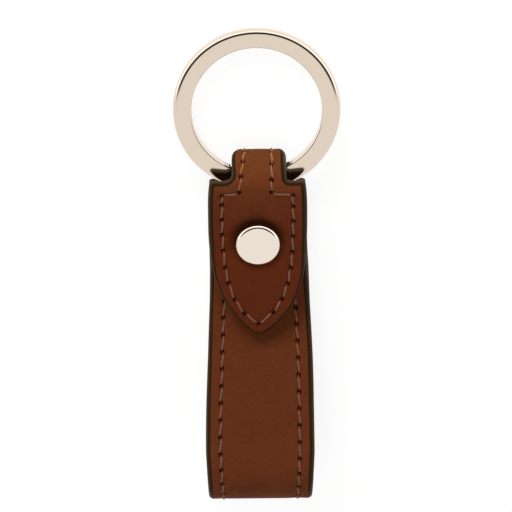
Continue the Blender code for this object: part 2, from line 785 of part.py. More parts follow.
clear_scene()
PARTS = make_collection("key_holder")
CUTTERS = make_collection("cutters")
strap_plies, strap_threads = make_strap()
flap_metal, front_metal = make_press_stud(strap_plies)
split_ring = make_split_ring()

flap_hinge = make_hinge("flap_hinge", FLAP_AXIS)
front_hinge = make_hinge("front_hinge", FRONT_AXIS)
ring_hinge = make_hinge("ring_hinge", RING_AXIS)
for piece in (*strap_plies["flap"], *strap_threads["flap"], *flap_metal):
    carry(piece, flap_hinge)
for piece in (*strap_plies["front"], *strap_threads["front"], *front_metal):
    carry(piece, front_hinge)
carry(split_ring, ring_hinge)
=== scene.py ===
# %% [markdown]
# # A leather key holder
# One long strip of doubled brown leather is folded into a loop. Its pointed flap snaps shut on the
# front panel, and its narrow neck holds a split ring for the keys. The strap lies on its back
# panel: X is its width, Y runs along it towards the ring and Z is up, all in metres. Every piece
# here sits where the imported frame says, so the frame is loaded first and its box is kept.

# %% Load the frame
import math

import bmesh
import bpy
import numpy as np
from mathutils import Matrix, Vector
from mathutils.geometry import delaunay_2d_cdt
from mathutils.kdtree import KDTree


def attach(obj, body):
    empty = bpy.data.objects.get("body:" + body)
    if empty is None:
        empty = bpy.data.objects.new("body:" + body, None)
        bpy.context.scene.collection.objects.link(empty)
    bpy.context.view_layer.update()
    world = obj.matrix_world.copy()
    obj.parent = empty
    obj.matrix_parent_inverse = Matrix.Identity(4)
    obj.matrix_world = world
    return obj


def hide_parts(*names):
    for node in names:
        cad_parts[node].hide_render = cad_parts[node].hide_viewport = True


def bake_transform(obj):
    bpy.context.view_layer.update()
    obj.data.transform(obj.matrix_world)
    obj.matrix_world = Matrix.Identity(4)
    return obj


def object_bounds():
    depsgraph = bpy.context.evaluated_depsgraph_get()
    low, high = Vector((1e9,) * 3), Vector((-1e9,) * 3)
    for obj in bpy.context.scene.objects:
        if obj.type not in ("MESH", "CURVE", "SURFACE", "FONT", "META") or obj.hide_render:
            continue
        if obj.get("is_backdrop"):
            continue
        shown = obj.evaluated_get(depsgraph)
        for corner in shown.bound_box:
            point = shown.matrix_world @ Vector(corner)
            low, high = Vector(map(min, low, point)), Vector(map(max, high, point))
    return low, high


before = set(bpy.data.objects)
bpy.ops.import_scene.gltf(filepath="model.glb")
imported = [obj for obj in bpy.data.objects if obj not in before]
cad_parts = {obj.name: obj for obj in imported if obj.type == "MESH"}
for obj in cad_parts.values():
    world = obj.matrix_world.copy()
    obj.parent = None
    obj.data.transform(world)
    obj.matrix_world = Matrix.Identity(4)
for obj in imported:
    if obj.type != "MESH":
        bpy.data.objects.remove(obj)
cad_box = [list(corner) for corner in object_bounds()]
MM = 0.001

# %% [markdown]
# ## The camera
# The photograph looks down on the holder from the ring's side, 28 degrees off the vertical and
# with a long lens, so lines that run along the strap hardly converge. The camera is placed from
# the ring: its centre shows at one known pixel, and the ring's size gives the scale. It is rolled
# by half a degree, as the real one was.

# %% Place the camera
NECK_Y = 20.076 * MM
NECK_RADIUS = 6.5 * MM
RING_DIAMETER = 35 * MM
RING_BAND = 3.9 * MM
RING_LAYER = 1.275 * MM
RING_GAP = 0.1 * MM
RING_MEAN_RADIUS = (RING_DIAMETER - RING_BAND) / 2
RING_REACH = RING_MEAN_RADIUS + RING_DIAMETER / 2
HALF_STACK = RING_LAYER + RING_GAP / 2
RING_LEAN = math.asin(NECK_RADIUS / math.hypot(RING_REACH, HALF_STACK)) - math.atan2(
    HALF_STACK, RING_REACH
)
RING_AXIS = Vector((0, NECK_Y, NECK_RADIUS))
RING_CENTRE = RING_AXIS + RING_MEAN_RADIUS * Vector(
    (0, math.cos(RING_LEAN), -math.sin(RING_LEAN))
)

IMAGE_SIZE = 512
RING_PIXEL = (256.63, 108.98)
PIXELS_PER_MM = 4.79
CAMERA_TILT = math.radians(28)
CAMERA_ROLL = math.radians(0.55)
CAMERA_DISTANCE = 1.2
SENSOR_WIDTH = 36
right = Vector((1, 0, 0))
up = Vector((0, math.cos(CAMERA_TILT), -math.sin(CAMERA_TILT)))
towards_camera = Vector((0, math.sin(CAMERA_TILT), math.cos(CAMERA_TILT)))
rolled_right = math.cos(CAMERA_ROLL) * right - math.sin(CAMERA_ROLL) * up
rolled_up = math.sin(CAMERA_ROLL) * right + math.cos(CAMERA_ROLL) * up
across = (RING_PIXEL[0] - IMAGE_SIZE / 2) / PIXELS_PER_MM * MM
above = (IMAGE_SIZE / 2 - RING_PIXEL[1]) / PIXELS_PER_MM * MM
target = RING_CENTRE - across * rolled_right - above * rolled_up
camera_data = bpy.data.cameras.new("photo_camera")
camera = bpy.data.objects.new("photo_camera", camera_data)
bpy.context.scene.collection.objects.link(camera)
bpy.context.scene.camera = camera
axes = Matrix((rolled_right, rolled_up, towards_camera)).transposed()
camera.matrix_world = Matrix.Translation(target + CAMERA_DISTANCE * towards_camera) @ axes.to_4x4()
camera_data.sensor_width = SENSOR_WIDTH
camera_data.lens = SENSOR_WIDTH * CAMERA_DISTANCE / (IMAGE_SIZE / PIXELS_PER_MM * MM)
camera_data.clip_start = 0.05
camera_data.clip_end = 20
print("lens in mm:", round(camera_data.lens, 1))

# %% [markdown]
# ## The floor and the light
# The holder lies on a white sweep. Part of its white is emission that only the camera, mirrors
# and glass see, so it comes out white while the soft shadow under the holder stays. The light is
# a soft box low beyond the ring and a little to the left, which brightens the neck, a weaker one
# overhead, and a surround. Polished metal mirrors only the surround, which is even and bright but
# for one dark band beyond the ring: it draws the dark line along the ring's bevel and the cap's
# rim. Below the band is a brighter zone that only polished metal sees. Lamps that showed in the
# metal would be another way, but a surround gives one clean line without a lamp's square outline.


# %% Node helpers
def add_node(tree, kind, **settings):
    """A node with its settings; a setting that is a socket of the node sets that input."""
    node = tree.nodes.new("ShaderNode" + kind)
    for name, value in settings.items():
        if hasattr(node, name):
            setattr(node, name, value)
        else:
            node.inputs[name.replace("_", " ")].default_value = value
    return node


def math_node(tree, operation, first, second=0.0):
    """The result of one sum, whose terms are numbers or other nodes' results."""
    node = add_node(tree, "Math", operation=operation)
    for socket, value in zip(node.inputs, (first, second)):
        if isinstance(value, (int, float)):
            socket.default_value = value
        else:
            tree.links.new(value, socket)
    return node.outputs[0]


def product(tree, *values):
    """All the values multiplied."""
    made = values[0]
    for value in values[1:]:
        made = math_node(tree, "MULTIPLY", made, value)
    return made


def seen_or_mirrored(tree):
    """1 for rays from the camera, a mirror or glass, and 0 for the light on the holder."""
    path = add_node(tree, "LightPath")
    seen = math_node(tree, "ADD", path.outputs["Is Camera Ray"], path.outputs["Is Glossy Ray"])
    seen = math_node(tree, "ADD", seen, path.outputs["Is Transmission Ray"])
    return math_node(tree, "MINIMUM", seen, 1.0)


def new_material(name):
    """A material with its node tree and its shader."""
    material = bpy.data.materials.new(name)
    material.use_nodes = True
    return material, material.node_tree, material.node_tree.nodes["Principled BSDF"]


print("node helpers ready")

# %% Lay the floor
FLOOR_SIZE = 4
FLOOR_CLEARANCE = 0.02 * MM
FLOOR_GREY = 0.22
FLOOR_LIFT = 0.86
bpy.ops.mesh.primitive_plane_add(size=FLOOR_SIZE, location=(0, 0, -FLOOR_CLEARANCE))
floor = bpy.context.object
floor.name = "studio_floor"
sweep_white, tree, shader = new_material("sweep_white")
shader.inputs["Base Color"].default_value = (FLOOR_GREY, FLOOR_GREY, FLOOR_GREY, 1)
shader.inputs["Roughness"].default_value = 0.9
shader.inputs["Specular IOR Level"].default_value = 0
lift = product(tree, seen_or_mirrored(tree), FLOOR_LIFT)
tree.links.new(lift, shader.inputs["Emission Strength"])
shader.inputs["Emission Color"].default_value = (1, 1, 1, 1)
floor.data.materials.append(sweep_white)
floor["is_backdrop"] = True
print("floor:", floor.name)

# %% Light the surround
SURROUND = 0.92
SURROUND_COLOUR = (1, 0.99, 0.975, 1)
DIFFUSE_SHARE = 0.5
BAND_SHADE = 0.04
BAND_TOP = (12, 17)
BAND_FOOT = (50, 53)
BAND_SIDE = (-0.12, 0.02)
GLOW = 0.6
world = bpy.data.worlds.new("studio_surround")
bpy.context.scene.world = world
world.use_nodes = True
tree = world.node_tree
direction = add_node(tree, "SeparateXYZ")
tree.links.new(add_node(tree, "TexCoord").outputs["Generated"], direction.inputs[0])


def soft_step(value, low, high):
    """0 below the first value and 1 above the second, with a smooth rise between them."""
    rise = add_node(tree, "MapRange", interpolation_type="SMOOTHSTEP", From_Min=low, From_Max=high)
    tree.links.new(value, rise.inputs["Value"])
    return rise.outputs["Result"]


top, foot = ([math.cos(math.radians(angle)) for angle in pair] for pair in (BAND_TOP, BAND_FOOT))
below_top = math_node(tree, "SUBTRACT", 1.0, soft_step(direction.outputs["Z"], top[1], top[0]))
above_foot = soft_step(direction.outputs["Z"], foot[1], foot[0])
beyond = soft_step(direction.outputs["Y"], *BAND_SIDE)
band = product(tree, below_top, above_foot, beyond, 1 - BAND_SHADE)
low = product(tree, math_node(tree, "SUBTRACT", 1.0, above_foot), beyond)
mirrored = add_node(tree, "LightPath").outputs["Is Glossy Ray"]
level = math_node(tree, "SUBTRACT", 1.0, band)
level = math_node(tree, "ADD", level, product(tree, low, mirrored, GLOW))
share = product(tree, seen_or_mirrored(tree), 1 - DIFFUSE_SHARE)
share = math_node(tree, "ADD", share, DIFFUSE_SHARE)
background = tree.nodes["Background"]
background.inputs["Color"].default_value = SURROUND_COLOUR
tree.links.new(product(tree, level, share, SURROUND), background.inputs["Strength"])
print("surround level:", SURROUND)


# %% Hang the soft boxes
def soft_box(name, place, power, colour, size=0.5):
    """A square area lamp that faces the holder, and that polished metal doesn't mirror."""
    lamp = bpy.data.lights.new(name, "AREA")
    lamp.shape = "SQUARE"
    lamp.size = size
    lamp.energy = power
    lamp.color = colour
    obj = bpy.data.objects.new(name, lamp)
    obj.location = place
    obj.rotation_euler = (-Vector(place)).to_track_quat("-Z", "Y").to_euler()
    obj.visible_glossy = False
    bpy.context.scene.collection.objects.link(obj)


soft_box("key_box", place=(-0.22, 1.0, 0.46), power=7.4, colour=(1, 0.98, 0.95))
soft_box("top_box", place=(-0.1, 0.1, 1.2), power=3.0, colour=(1, 1, 1))
bpy.context.scene.view_settings.view_transform = "Standard"

# %% [markdown]
# ## The path of the strap
# The strap is one flat strip before it is folded, so everything on it is laid out flat first: an
# arc length s along its outer face and a distance x across it. The walk below then folds the
# strip, with straight runs and round bends, exactly as the solids are folded. Where s is 0 the
# back panel meets the neck's bend. It grows over the neck to the flap's tip, and falls below 0
# along the back panel, round the bottom fold and up the front panel.

# %% Sizes of the strap
OUTER_PLY = 1.2 * MM
PLY_CLEARANCE = 0.1 * MM
LINING_PLY = 1.2 * MM
STRAP_THICKNESS = OUTER_PLY + PLY_CLEARANCE + LINING_PLY
NECK_WIDTH = 11 * MM
NECK_FILLET = 1.5 * MM
NECK_SIDES = {0: (0, 0), 1: (0.6 * MM, 0.5 * MM), -1: (-0.15 * MM, 1.2 * MM)}
NECK_EASE = 1.2 * MM
NECK_WAIST = 6.5 * MM
NECK_WAIST_REACH = 2.6 * MM
NECK_END_ANGLE = math.radians(155)
BACK_SHOULDER_DROP = 2.6 * MM
FLAP_SLOPE = math.radians(5)
FLAP_DIP_RADIUS = 50 * MM
FLAP_TIP_RUN = 16.4 * MM
FLAP_SHOULDER_WIDTH = 20 * MM
FLAP_WIDTH = 20.8 * MM
FLAP_SHOULDER_LENGTH = 7 * MM
FLAP_TIP_WIDTH = 1.9 * MM
ARCHES = {0: (26 * MM, 0.63, 6), 1: (26.5 * MM, 0.3, 5), -1: (24.5 * MM, 0.5, 4)}
PANEL_TOP_WIDTH = 20.3 * MM
PANEL_FOLD_WIDTH = 23.1 * MM
PANEL_CORNER = 0.6 * MM
PANEL_GROWTH_POWER = 1.4
FRONT_END_EASE = 0.12 * MM
BACK_LENGTH = 62 * MM
FOLD_RADIUS = 11 * MM
FOLD_NARROWING = 1.1 * MM
FRONT_BEND_RADIUS = 30 * MM
FRONT_END_RUN = 13.5 * MM
FRONT_END_PAST_SNAP = 8.34 * MM
SNAP_DISTANCE = 12.3 * MM
FRONT_HEIGHT = 6.05 * MM

# The front panel leaves the fold at the slope that brings its end level at FRONT_HEIGHT, and the
# flap's straight run is as long as puts the snap at SNAP_DISTANCE from the neck
bend_end = BACK_LENGTH - SNAP_DISTANCE + FRONT_END_PAST_SNAP - FRONT_END_RUN
bend_rise = FRONT_HEIGHT - FOLD_RADIUS + FRONT_BEND_RADIUS
rounds = FOLD_RADIUS + FRONT_BEND_RADIUS
FRONT_RUN = math.sqrt(bend_end**2 + bend_rise**2 - rounds**2)
FRONT_SLOPE = math.atan2(rounds, FRONT_RUN) - math.atan2(bend_rise, bend_end)
DIP_LENGTH = 2 * FLAP_SLOPE * FLAP_DIP_RADIUS
FLAP_RUN = (
    SNAP_DISTANCE - (NECK_RADIUS + FLAP_DIP_RADIUS) * math.sin(FLAP_SLOPE)
) / math.cos(FLAP_SLOPE)
print("front slope in degrees:", round(math.degrees(FRONT_SLOPE), 2))

# %% Fold the strip
UPPER_WALK = (
    (NECK_RADIUS * (math.pi + FLAP_SLOPE), math.pi + FLAP_SLOPE),
    (FLAP_RUN, 0),
    (DIP_LENGTH, -2 * FLAP_SLOPE),
    (FLAP_TIP_RUN, 0),
)
LOWER_WALK = (
    (BACK_LENGTH, 0),
    (FOLD_RADIUS * (math.pi + FRONT_SLOPE), math.pi + FRONT_SLOPE),
    (FRONT_RUN, 0),
    (FRONT_BEND_RADIUS * FRONT_SLOPE, -FRONT_SLOPE),
    (FRONT_END_RUN, 0),
)
# Arc lengths of the tip, the flap's and the back's shoulders, the bottom fold's start, its end,
# the front panel's bend and free end, and the snap
S_TIP = sum(length for length, bend in UPPER_WALK)
S_FLAP = NECK_RADIUS * NECK_END_ANGLE
S_BACK = -BACK_SHOULDER_DROP
S_FOLD = -BACK_LENGTH
S_FRONT = S_FOLD - LOWER_WALK[1][0]
S_FRONT_BEND = S_FRONT - FRONT_RUN
S_END = -sum(length for length, bend in LOWER_WALK)
S_SNAP = S_TIP - FLAP_TIP_RUN - DIP_LENGTH / 2

# Where the strap below the neck lies along Y and how far it bows to the right, in millimetres
BOW = (
    (-50, 0.08),
    (-34, 0.10),
    (-29, 0.14),
    (-24, 0.23),
    (-19, 0.30),
    (-8, 0.27),
    (-4, 0.24),
    (0, 0.12),
    (12, 0),
)
BOW_Y, BOW_X = np.array(BOW).T * MM


def strap_points(s, x, depth):
    """World places of points at arc lengths s, x across and a depth below the outer face."""
    s, x, depth = (np.asarray(values, float) for values in (s, x, depth))
    made = np.zeros((len(s), 3))
    for walk, side, heading in ((UPPER_WALK, 1, 0.0), (LOWER_WALK, -1, math.pi)):
        mine = (s >= 0) if side > 0 else (s < 0)
        y, z, start = NECK_Y, 0.0, 0.0
        for i, (length, bend) in enumerate(walk):
            run = np.abs(s) - start
            here = mine & (run >= 0) & ((run < length) | (i == len(walk) - 1))
            rate = side * bend / length
            for chosen, along in ((here, run[here]), (None, np.array([length]))):
                angle = heading + rate * along
                if rate:
                    at_y = y + (np.sin(angle) - math.sin(heading)) / rate
                    at_z = z + (math.cos(heading) - np.cos(angle)) / rate
                else:
                    at_y = y + math.cos(heading) * along
                    at_z = z + math.sin(heading) * along
                if chosen is not None:
                    made[chosen, 1] = at_y - side * np.sin(angle) * depth[chosen]
                    made[chosen, 2] = at_z + side * np.cos(angle) * depth[chosen]
            y, z, heading = at_y[0], at_z[0], angle[0]
            start += length
    made[:, 0] = x + np.where(s < 0, np.interp(made[:, 1], BOW_Y, BOW_X), 0)
    return made


ends = strap_points([S_END, S_TIP], [0, 0], [0, 0]) / MM
print("front end and tip in mm:", ends.round(2).tolist())

# %% [markdown]
# ## The outline of the strip
# The flat strip has three widths: a flap that narrows in an arch to its point, a neck, and panels
# that widen towards the bottom fold. A leather worker cuts it with a pattern and rounds the
# inside corners, where the neck would tear first. The knife strays a little from the pattern, so
# the arch and the neck differ by some tenths of a millimetre from side to side. A curve drawn by
# hand could do it, but half a width for each s keeps every measure readable. The line is then
# taken again at even steps, because the edge is swept along it.


# %% Half widths
def fillet(distance, radius):
    """How far a quarter round of this radius stands back at a distance from its end."""
    if distance >= radius:
        return 0.0
    return radius - math.sqrt(radius**2 - (radius - max(0.0, distance)) ** 2)


def flap_half_width(s, side):
    """Half a width on one side: the knife strays from the even pattern, which is side 0."""
    half = FLAP_WIDTH / 2
    from_shoulder = s - S_FLAP
    spread = max(0.0, 1 - from_shoulder / FLAP_SHOULDER_LENGTH)
    half -= (FLAP_WIDTH - FLAP_SHOULDER_WIDTH) / 2 * spread**2
    half -= fillet(from_shoulder, PANEL_CORNER)
    length, round_share, power = ARCHES[side]
    along = max(0.0, 1 - (S_TIP - s) / length)
    arch = round_share * along**2 + (1 - round_share) * along**power
    return half - (FLAP_WIDTH - FLAP_TIP_WIDTH) / 2 * arch


def panel_half_width(s):
    """Back and front panels widen towards the bottom fold, where the bend draws the strap in."""
    growth = (PANEL_FOLD_WIDTH - PANEL_TOP_WIDTH) / 2
    half = PANEL_TOP_WIDTH / 2
    if s >= S_FOLD:
        if s < S_BACK:
            half += growth * ((S_BACK - s) / (S_BACK - S_FOLD)) ** PANEL_GROWTH_POWER
        half -= fillet(S_BACK - s, PANEL_CORNER)
    elif s >= S_FRONT:
        bend = (S_FOLD - s) / (S_FOLD - S_FRONT)
        half += growth - FOLD_NARROWING / 2 * math.sin(bend * math.pi)
    else:
        taper_end = S_FRONT_BEND - FRONT_BEND_RADIUS * FRONT_SLOPE
        rise = max(0.0, (s - taper_end) / (S_FRONT - taper_end))
        half += growth * math.sin(rise * math.pi / 2) - FRONT_END_EASE * (1 - rise)
        half -= fillet(s - S_END, PANEL_CORNER)
    return half


def half_width(s, side=0):
    """Half a width anywhere on the strip: the neck's sides are drawn in where it bends."""
    if s >= S_FLAP:
        return flap_half_width(s, side)
    if s > S_BACK:
        wider, waist = NECK_SIDES[side]
        into = min(S_FLAP - s, s - S_BACK)
        drawn = waist * math.exp(-(((s - NECK_WAIST) / NECK_WAIST_REACH) ** 2))
        ease = min(1, into / NECK_EASE)
        ease = ease**2 * (3 - 2 * ease)
        return NECK_WIDTH / 2 + fillet(into, NECK_FILLET) + (wider - drawn) * ease
    return panel_half_width(s)


print("half widths in mm:", [round(half_width(s) / MM, 2) for s in (S_SNAP, 0, S_BACK, S_FOLD)])

# %% Trace the edge
EDGE_STEP = 0.22 * MM
SAMPLES_PER_STEP = 5
BEFORE_CORNER = MM * 1e-6
TIP_ROUNDING = 1.6 * MM
TIP_PASSES = 12


def spread(line, count):
    """So many points evenly along the line, both ends kept."""
    lengths = np.hypot(*np.diff(line, axis=0).T)
    along = np.concatenate([[0], np.cumsum(lengths)])
    at = np.linspace(0, along[-1], count)
    return np.stack([np.interp(at, along, line[:, i]) for i in (0, 1)], axis=1)


def evenly(line, step):
    """The line's points taken again about a step apart, both ends kept."""
    length = np.hypot(*np.diff(line, axis=0).T).sum()
    return spread(line, max(1, round(length / step)) + 1)


def edge_line(start, end, side):
    """The strip's edge on one side from one arc length to another, as (s, distance across)."""
    samples = set(np.arange(start, end, EDGE_STEP / SAMPLES_PER_STEP).tolist()) | {end}
    for corner in (S_FLAP, S_BACK):
        samples |= {s for s in (corner - BEFORE_CORNER, corner) if start < s < end}
    line = [(s, half_width(s, side)) for s in sorted(samples)]
    if start <= S_END:
        line.insert(0, (start, 0.0))
    if end >= S_TIP:
        line.append((end, 0.0))
    line = evenly(np.array(line), EDGE_STEP)
    if end >= S_TIP:
        for turn in range(TIP_PASSES):
            soft = line[1:-1, 0] > S_TIP - TIP_ROUNDING
            middle = (line[:-2] + line[2:]) / 2
            line[1:-1][soft] += 0.5 * (middle - line[1:-1])[soft]
            line[-1, 0] = line[-2, 0]
    return line


flap_edge = edge_line(S_FLAP, S_TIP, 1)
print("flap edge:", len(flap_edge), "points")

# %% [markdown]
# ## The stitch line
# One row of saddle stitches runs along each edge, closer in on the neck, round the flap's point
# and across the front's end. The awl's holes come first, a whole number of them on each stretch.
# They are pricked by hand, so the steps differ a little and each side has its own. The holes lie
# at a slant, which sets each stitch a little askew. An array along a curve would space them too
# evenly.

# %% Prick the holes
STITCH_PITCH = 3.6 * MM
STITCH_INSET = 3.1 * MM
FLAP_STITCH_INSET = 2.9 * MM
TIP_STITCH_INSET = 1.95 * MM
INSET_TAPER_FROM_TIP = 8 * MM
INSET_TAPER_LENGTH = 14 * MM
TIP_HOLE_INSET = 2.4 * MM
TIP_STITCH_DROP = 2 * MM
# For each side: steps from the flap's point, the neck row's distance out at its corners and over
# its bend, and the first and the last step of a row as shares of the usual one
FLAP_STEPS = {
    1: (3.9, 3.5, 3.6, 3.5, 3.6, 3.6, 3.6, 3.6, 2.7),
    -1: (3.7, 3.7, 3.9, 3.6, 3.8, 3.7, 3.6, 3.6, 2.3),
}
NECK_ROWS = {1: (3.0 * MM, 3.05 * MM), -1: (3.85 * MM, 2.45 * MM)}
FIRST_NECK_STEP = {1: 0.77, -1: 1.0}
LAST_PANEL_STEP = {1: 0.58, -1: 1.1}
NECK_ROW_OVERRUN = 2.7 * MM
STITCH_STEP_LENGTH = 3.4 * MM
STITCH_END_INSET = 2.1 * MM
HAIR = 0.05 * MM


def between(start, end, function, count=120):
    """A line of (s, value) from one arc length to another."""
    run = np.linspace(start, end, count + 1)
    return np.array([(s, function(s)) for s in run])


def flap_line():
    """Stitch line of one side of the flap, from the point's middle to the flap's shoulder."""
    step_end = S_FLAP + STITCH_STEP_LENGTH
    tip_hole = S_TIP - TIP_HOLE_INSET
    line = [(tip_hole, 0.0)]
    for s, half in between(S_TIP, step_end, half_width):
        slope = math.atan2(half_width(s - HAIR) - half, HAIR)
        taper = min(1, max(0, (S_TIP - s - INSET_TAPER_FROM_TIP) / INSET_TAPER_LENGTH))
        inset = TIP_STITCH_INSET + (FLAP_STITCH_INSET - TIP_STITCH_INSET) * taper
        place = (s - inset * math.sin(slope), half - inset * math.cos(slope))
        if step_end < place[0] < tip_hole - TIP_STITCH_DROP:
            line.append(place)
    return np.array(line + [(step_end, line[-1][1])])


def prick(line, steps):
    """Holes along a line whose gaps keep these proportions; the line's last point is left out."""
    line = np.array(line)
    along = np.concatenate([[0], np.cumsum(np.hypot(*np.diff(line, axis=0).T))])
    at = np.concatenate([[0], np.cumsum(steps)[:-1]]) / sum(steps) * along[-1]
    return np.stack([np.interp(at, along, line[:, i]) for i in (0, 1)], axis=1)


def even_steps(line, first=1.0, last=1.0):
    """Whole steps for a line, of which the first and the last may be longer or shorter."""
    length = np.hypot(*np.diff(np.array(line), axis=0).T).sum() / STITCH_PITCH
    return [first] + [1.0] * round(length - first - last) + [last]


front_end_s = S_END + STITCH_END_INSET
flap_side = flap_line()
panel_side = between(
    S_BACK - STITCH_STEP_LENGTH, front_end_s, lambda s: panel_half_width(s) - STITCH_INSET
)


def side_holes(side):
    """The holes of one side, from the flap's point over the neck and round to the front's end."""
    at_corner, over_bend = NECK_ROWS[side]
    neck_row = (
        (S_FLAP + NECK_ROW_OVERRUN, at_corner),
        (S_FLAP / 2, over_bend),
        (S_BACK - NECK_ROW_OVERRUN, at_corner),
    )
    front_end = (panel_side[-1], (front_end_s, 0.0))
    made = [
        prick(flap_side, FLAP_STEPS[side]),
        prick((flap_side[-1], neck_row[0]), [1]),
        prick(neck_row, even_steps(neck_row, first=FIRST_NECK_STEP[side])),
        prick((neck_row[-1], panel_side[0]), [1]),
        prick(panel_side, even_steps(panel_side, last=LAST_PANEL_STEP[side])),
        prick(front_end, even_steps(front_end)),
    ]
    return np.concatenate(made) * (1, side)


right_holes = np.concatenate([side_holes(1), [(front_end_s, 0.0)]])
left_holes = side_holes(-1)[1:][::-1]
holes = np.concatenate([right_holes, left_holes])
print("holes:", len(holes))

# %% Draw the stitch line through them
ROW_STEP = 0.2 * MM
row_points, row_across = [], []
for hole, following in zip(holes, np.roll(holes, -1, axis=0)):
    way = following - hole
    steps = max(1, round(math.hypot(*way) / ROW_STEP))
    shares = np.arange(steps)[:, None] / steps
    row_points.append(hole + way * shares)
    row_across.append(np.tile((-way[1], way[0]) / np.hypot(*way), (steps, 1)))
row_points, row_across = np.concatenate(row_points), np.concatenate(row_across)
hole_before = holes - np.roll(holes, 1, axis=0)
hole_after = np.roll(holes, -1, axis=0) - holes
hole_along = hole_before / np.linalg.norm(hole_before, axis=1)[:, None]
hole_along = hole_along + hole_after / np.linalg.norm(hole_after, axis=1)[:, None]
hole_along /= np.linalg.norm(hole_along, axis=1)[:, None]
print("stitch line points:", len(row_points))


# %% [markdown]
# ## How the thread and the stud press the leather
# The leather is smooth calf, so its relief is small and soft: the pulled thread sinks a shallow
# groove, each hole is a small diamond with drawn-in lips, and the riveted cap presses a dish
# round itself. These are moved points and not a bump, because the light has to fall into them.
# The leather's colour also carries painted light and shade along the strap. It is paler and
# yellower over the neck, partly from stretched leather and partly painted light where the neck
# faces the lamps, redder on the flap, lighter on the front half of the bottom fold and on the
# flap's shoulder, darker towards the flap's point, and darker close to the cap's rim, where
# shade is painted.


# %% Relief of the leather
GROOVE_DEPTH = 0.13 * MM
GROOVE_WIDTH = 0.33 * MM
HOLE_DEPTH = 0.6 * MM
HOLE_LENGTH = 0.66 * MM
HOLE_WIDTH = 0.5 * MM
HOLE_SLANT = math.radians(20)
HOLE_SOFTNESS = 0.55
LIP_DEPTH = 0.08 * MM
DISH_DEPTH = 0.6 * MM
DISH_WIDTH = 1.5 * MM
CAP_DIAMETER = 9.4 * MM
# Painted shade round the cap's rim: the leather's colour is darkened there, most towards the ring.
RIM_SHADE = 0.25
RIM_SHADE_WIDTH = 2.3 * MM
RIM_SHADE_SHIFT = 0.8 * MM
# Arc length, a level of painted light and shade, and stretch from 0, redder, to 1, paler and
# yellower, which also paints light on the neck's top
TONES = (
    (S_END, 1.0, 0.5),
    (S_FRONT - 4 * MM, 1.0, 0.5),
    (S_FRONT + 4 * MM, 1.1, 0.5),
    (S_FRONT + 12 * MM, 1.22, 0.5),
    (S_FOLD, 1.0, 0.5),
    (S_BACK, 1.0, 0.5),
    (3 * MM, 1.0, 0.85),
    (10 * MM, 1.02, 1.0),
    (S_FLAP - 3 * MM, 1.0, 0.85),
    (S_FLAP + 2 * MM, 1.12, 0.52),
    (S_SNAP, 0.93, 0.05),
    (S_TIP - 8 * MM, 0.9, 0.05),
    (S_TIP, 0.85, 0.1),
)
TONE_S, PAINTED_SHADING_LEVEL, STRETCH_AND_NECK_LIGHT = zip(*TONES)
NECK_THREAD_PAINTED_LIGHT = [max(0, 2 * stretch_and_neck_light - 1) for stretch_and_neck_light in STRETCH_AND_NECK_LIGHT]


def nearest(points, queries):
    """For each query the nearest point's number and its distance."""
    tree = KDTree(len(points))
    for i, (a, b) in enumerate(points):
        tree.insert((a / MM, b / MM, 0), i)
    tree.balance()
    found = [tree.find((a / MM, b / MM, 0))[1:] for a, b in queries]
    return np.array([i for i, gap in found], int), np.array([gap for i, gap in found]) * MM


def relief(places, dish):
    """How deep the leather is pressed in at places (s, x), and how far in a hole they lie."""
    row, gap = nearest(row_points, places)
    pressed = GROOVE_DEPTH * np.exp(-((gap / GROOVE_WIDTH) ** 2))
    number, gap = nearest(holes, places)
    offset = places - holes[number]
    along = hole_along[number]
    run = offset[:, 0] * along[:, 0] + offset[:, 1] * along[:, 1]
    rise = offset[:, 1] * along[:, 0] - offset[:, 0] * along[:, 1]
    turned = HOLE_SLANT * np.where(places[:, 1] >= 0, 1, -1)
    long = run * np.cos(turned) + rise * np.sin(turned)
    short = rise * np.cos(turned) - run * np.sin(turned)
    cell = np.abs(long) / HOLE_LENGTH + np.abs(short) / HOLE_WIDTH
    hole = np.clip((1 - cell) / HOLE_SOFTNESS + 0.5, 0, 1)
    hole = hole**2 * (3 - 2 * hole)
    lips = np.exp(-((gap / (2 * HOLE_LENGTH)) ** 2))
    pressed += HOLE_DEPTH * hole + LIP_DEPTH * lips
    if dish:
        reach = np.hypot(places[:, 0] - S_SNAP, places[:, 1])
        past = np.maximum(0, reach - CAP_DIAMETER / 2)
        pressed += DISH_DEPTH * np.exp(-((past / DISH_WIDTH) ** 2))
    return pressed, hole


def painted_shading(places):
    """The painted light and shade at places (s, x): a level along the strap, times painted shade
    round the cap's rim.
    """
    tone = np.interp(places[:, 0], TONE_S, PAINTED_SHADING_LEVEL)
    reach = np.hypot(places[:, 0] - S_SNAP + RIM_SHADE_SHIFT, places[:, 1])
    past = np.clip((reach - CAP_DIAMETER / 2) / RIM_SHADE_WIDTH, 0, 1)
    return tone * (RIM_SHADE + (1 - RIM_SHADE) * past * (2 - past))


pressed, hole = relief(holes[:1], True)
print("hole at the flap's point in mm:", (pressed / MM).round(2).tolist())

# %% [markdown]
# ## The two plies
# The outer strip and the lining are cut alike, glued, sewn, sanded flush and painted along the
# edge. Each ply is a closed mesh: a face with fine points only where it has relief, an edge swept
# along the outline with a rounded shoulder, and a plain inner face. The painted band is narrower
# on the flap's arch and along the left of the neck and of the front panel, where it was sanded
# less. Subdividing a whole sheet would need far more points for the same holes. Three lengths
# make the strip, because the flap and the front panel turn on their own hinges while the back
# stays still, and leather bends softly between. The cuts lie on flat leather, with the same
# points on both sides.

# %% Edge sections
EDGE_BAND = 1.1 * MM
EDGE_ROUNDING = 0.95 * MM
INNER_CHAMFER = 0.06 * MM
SHOULDER_POINTS = 9
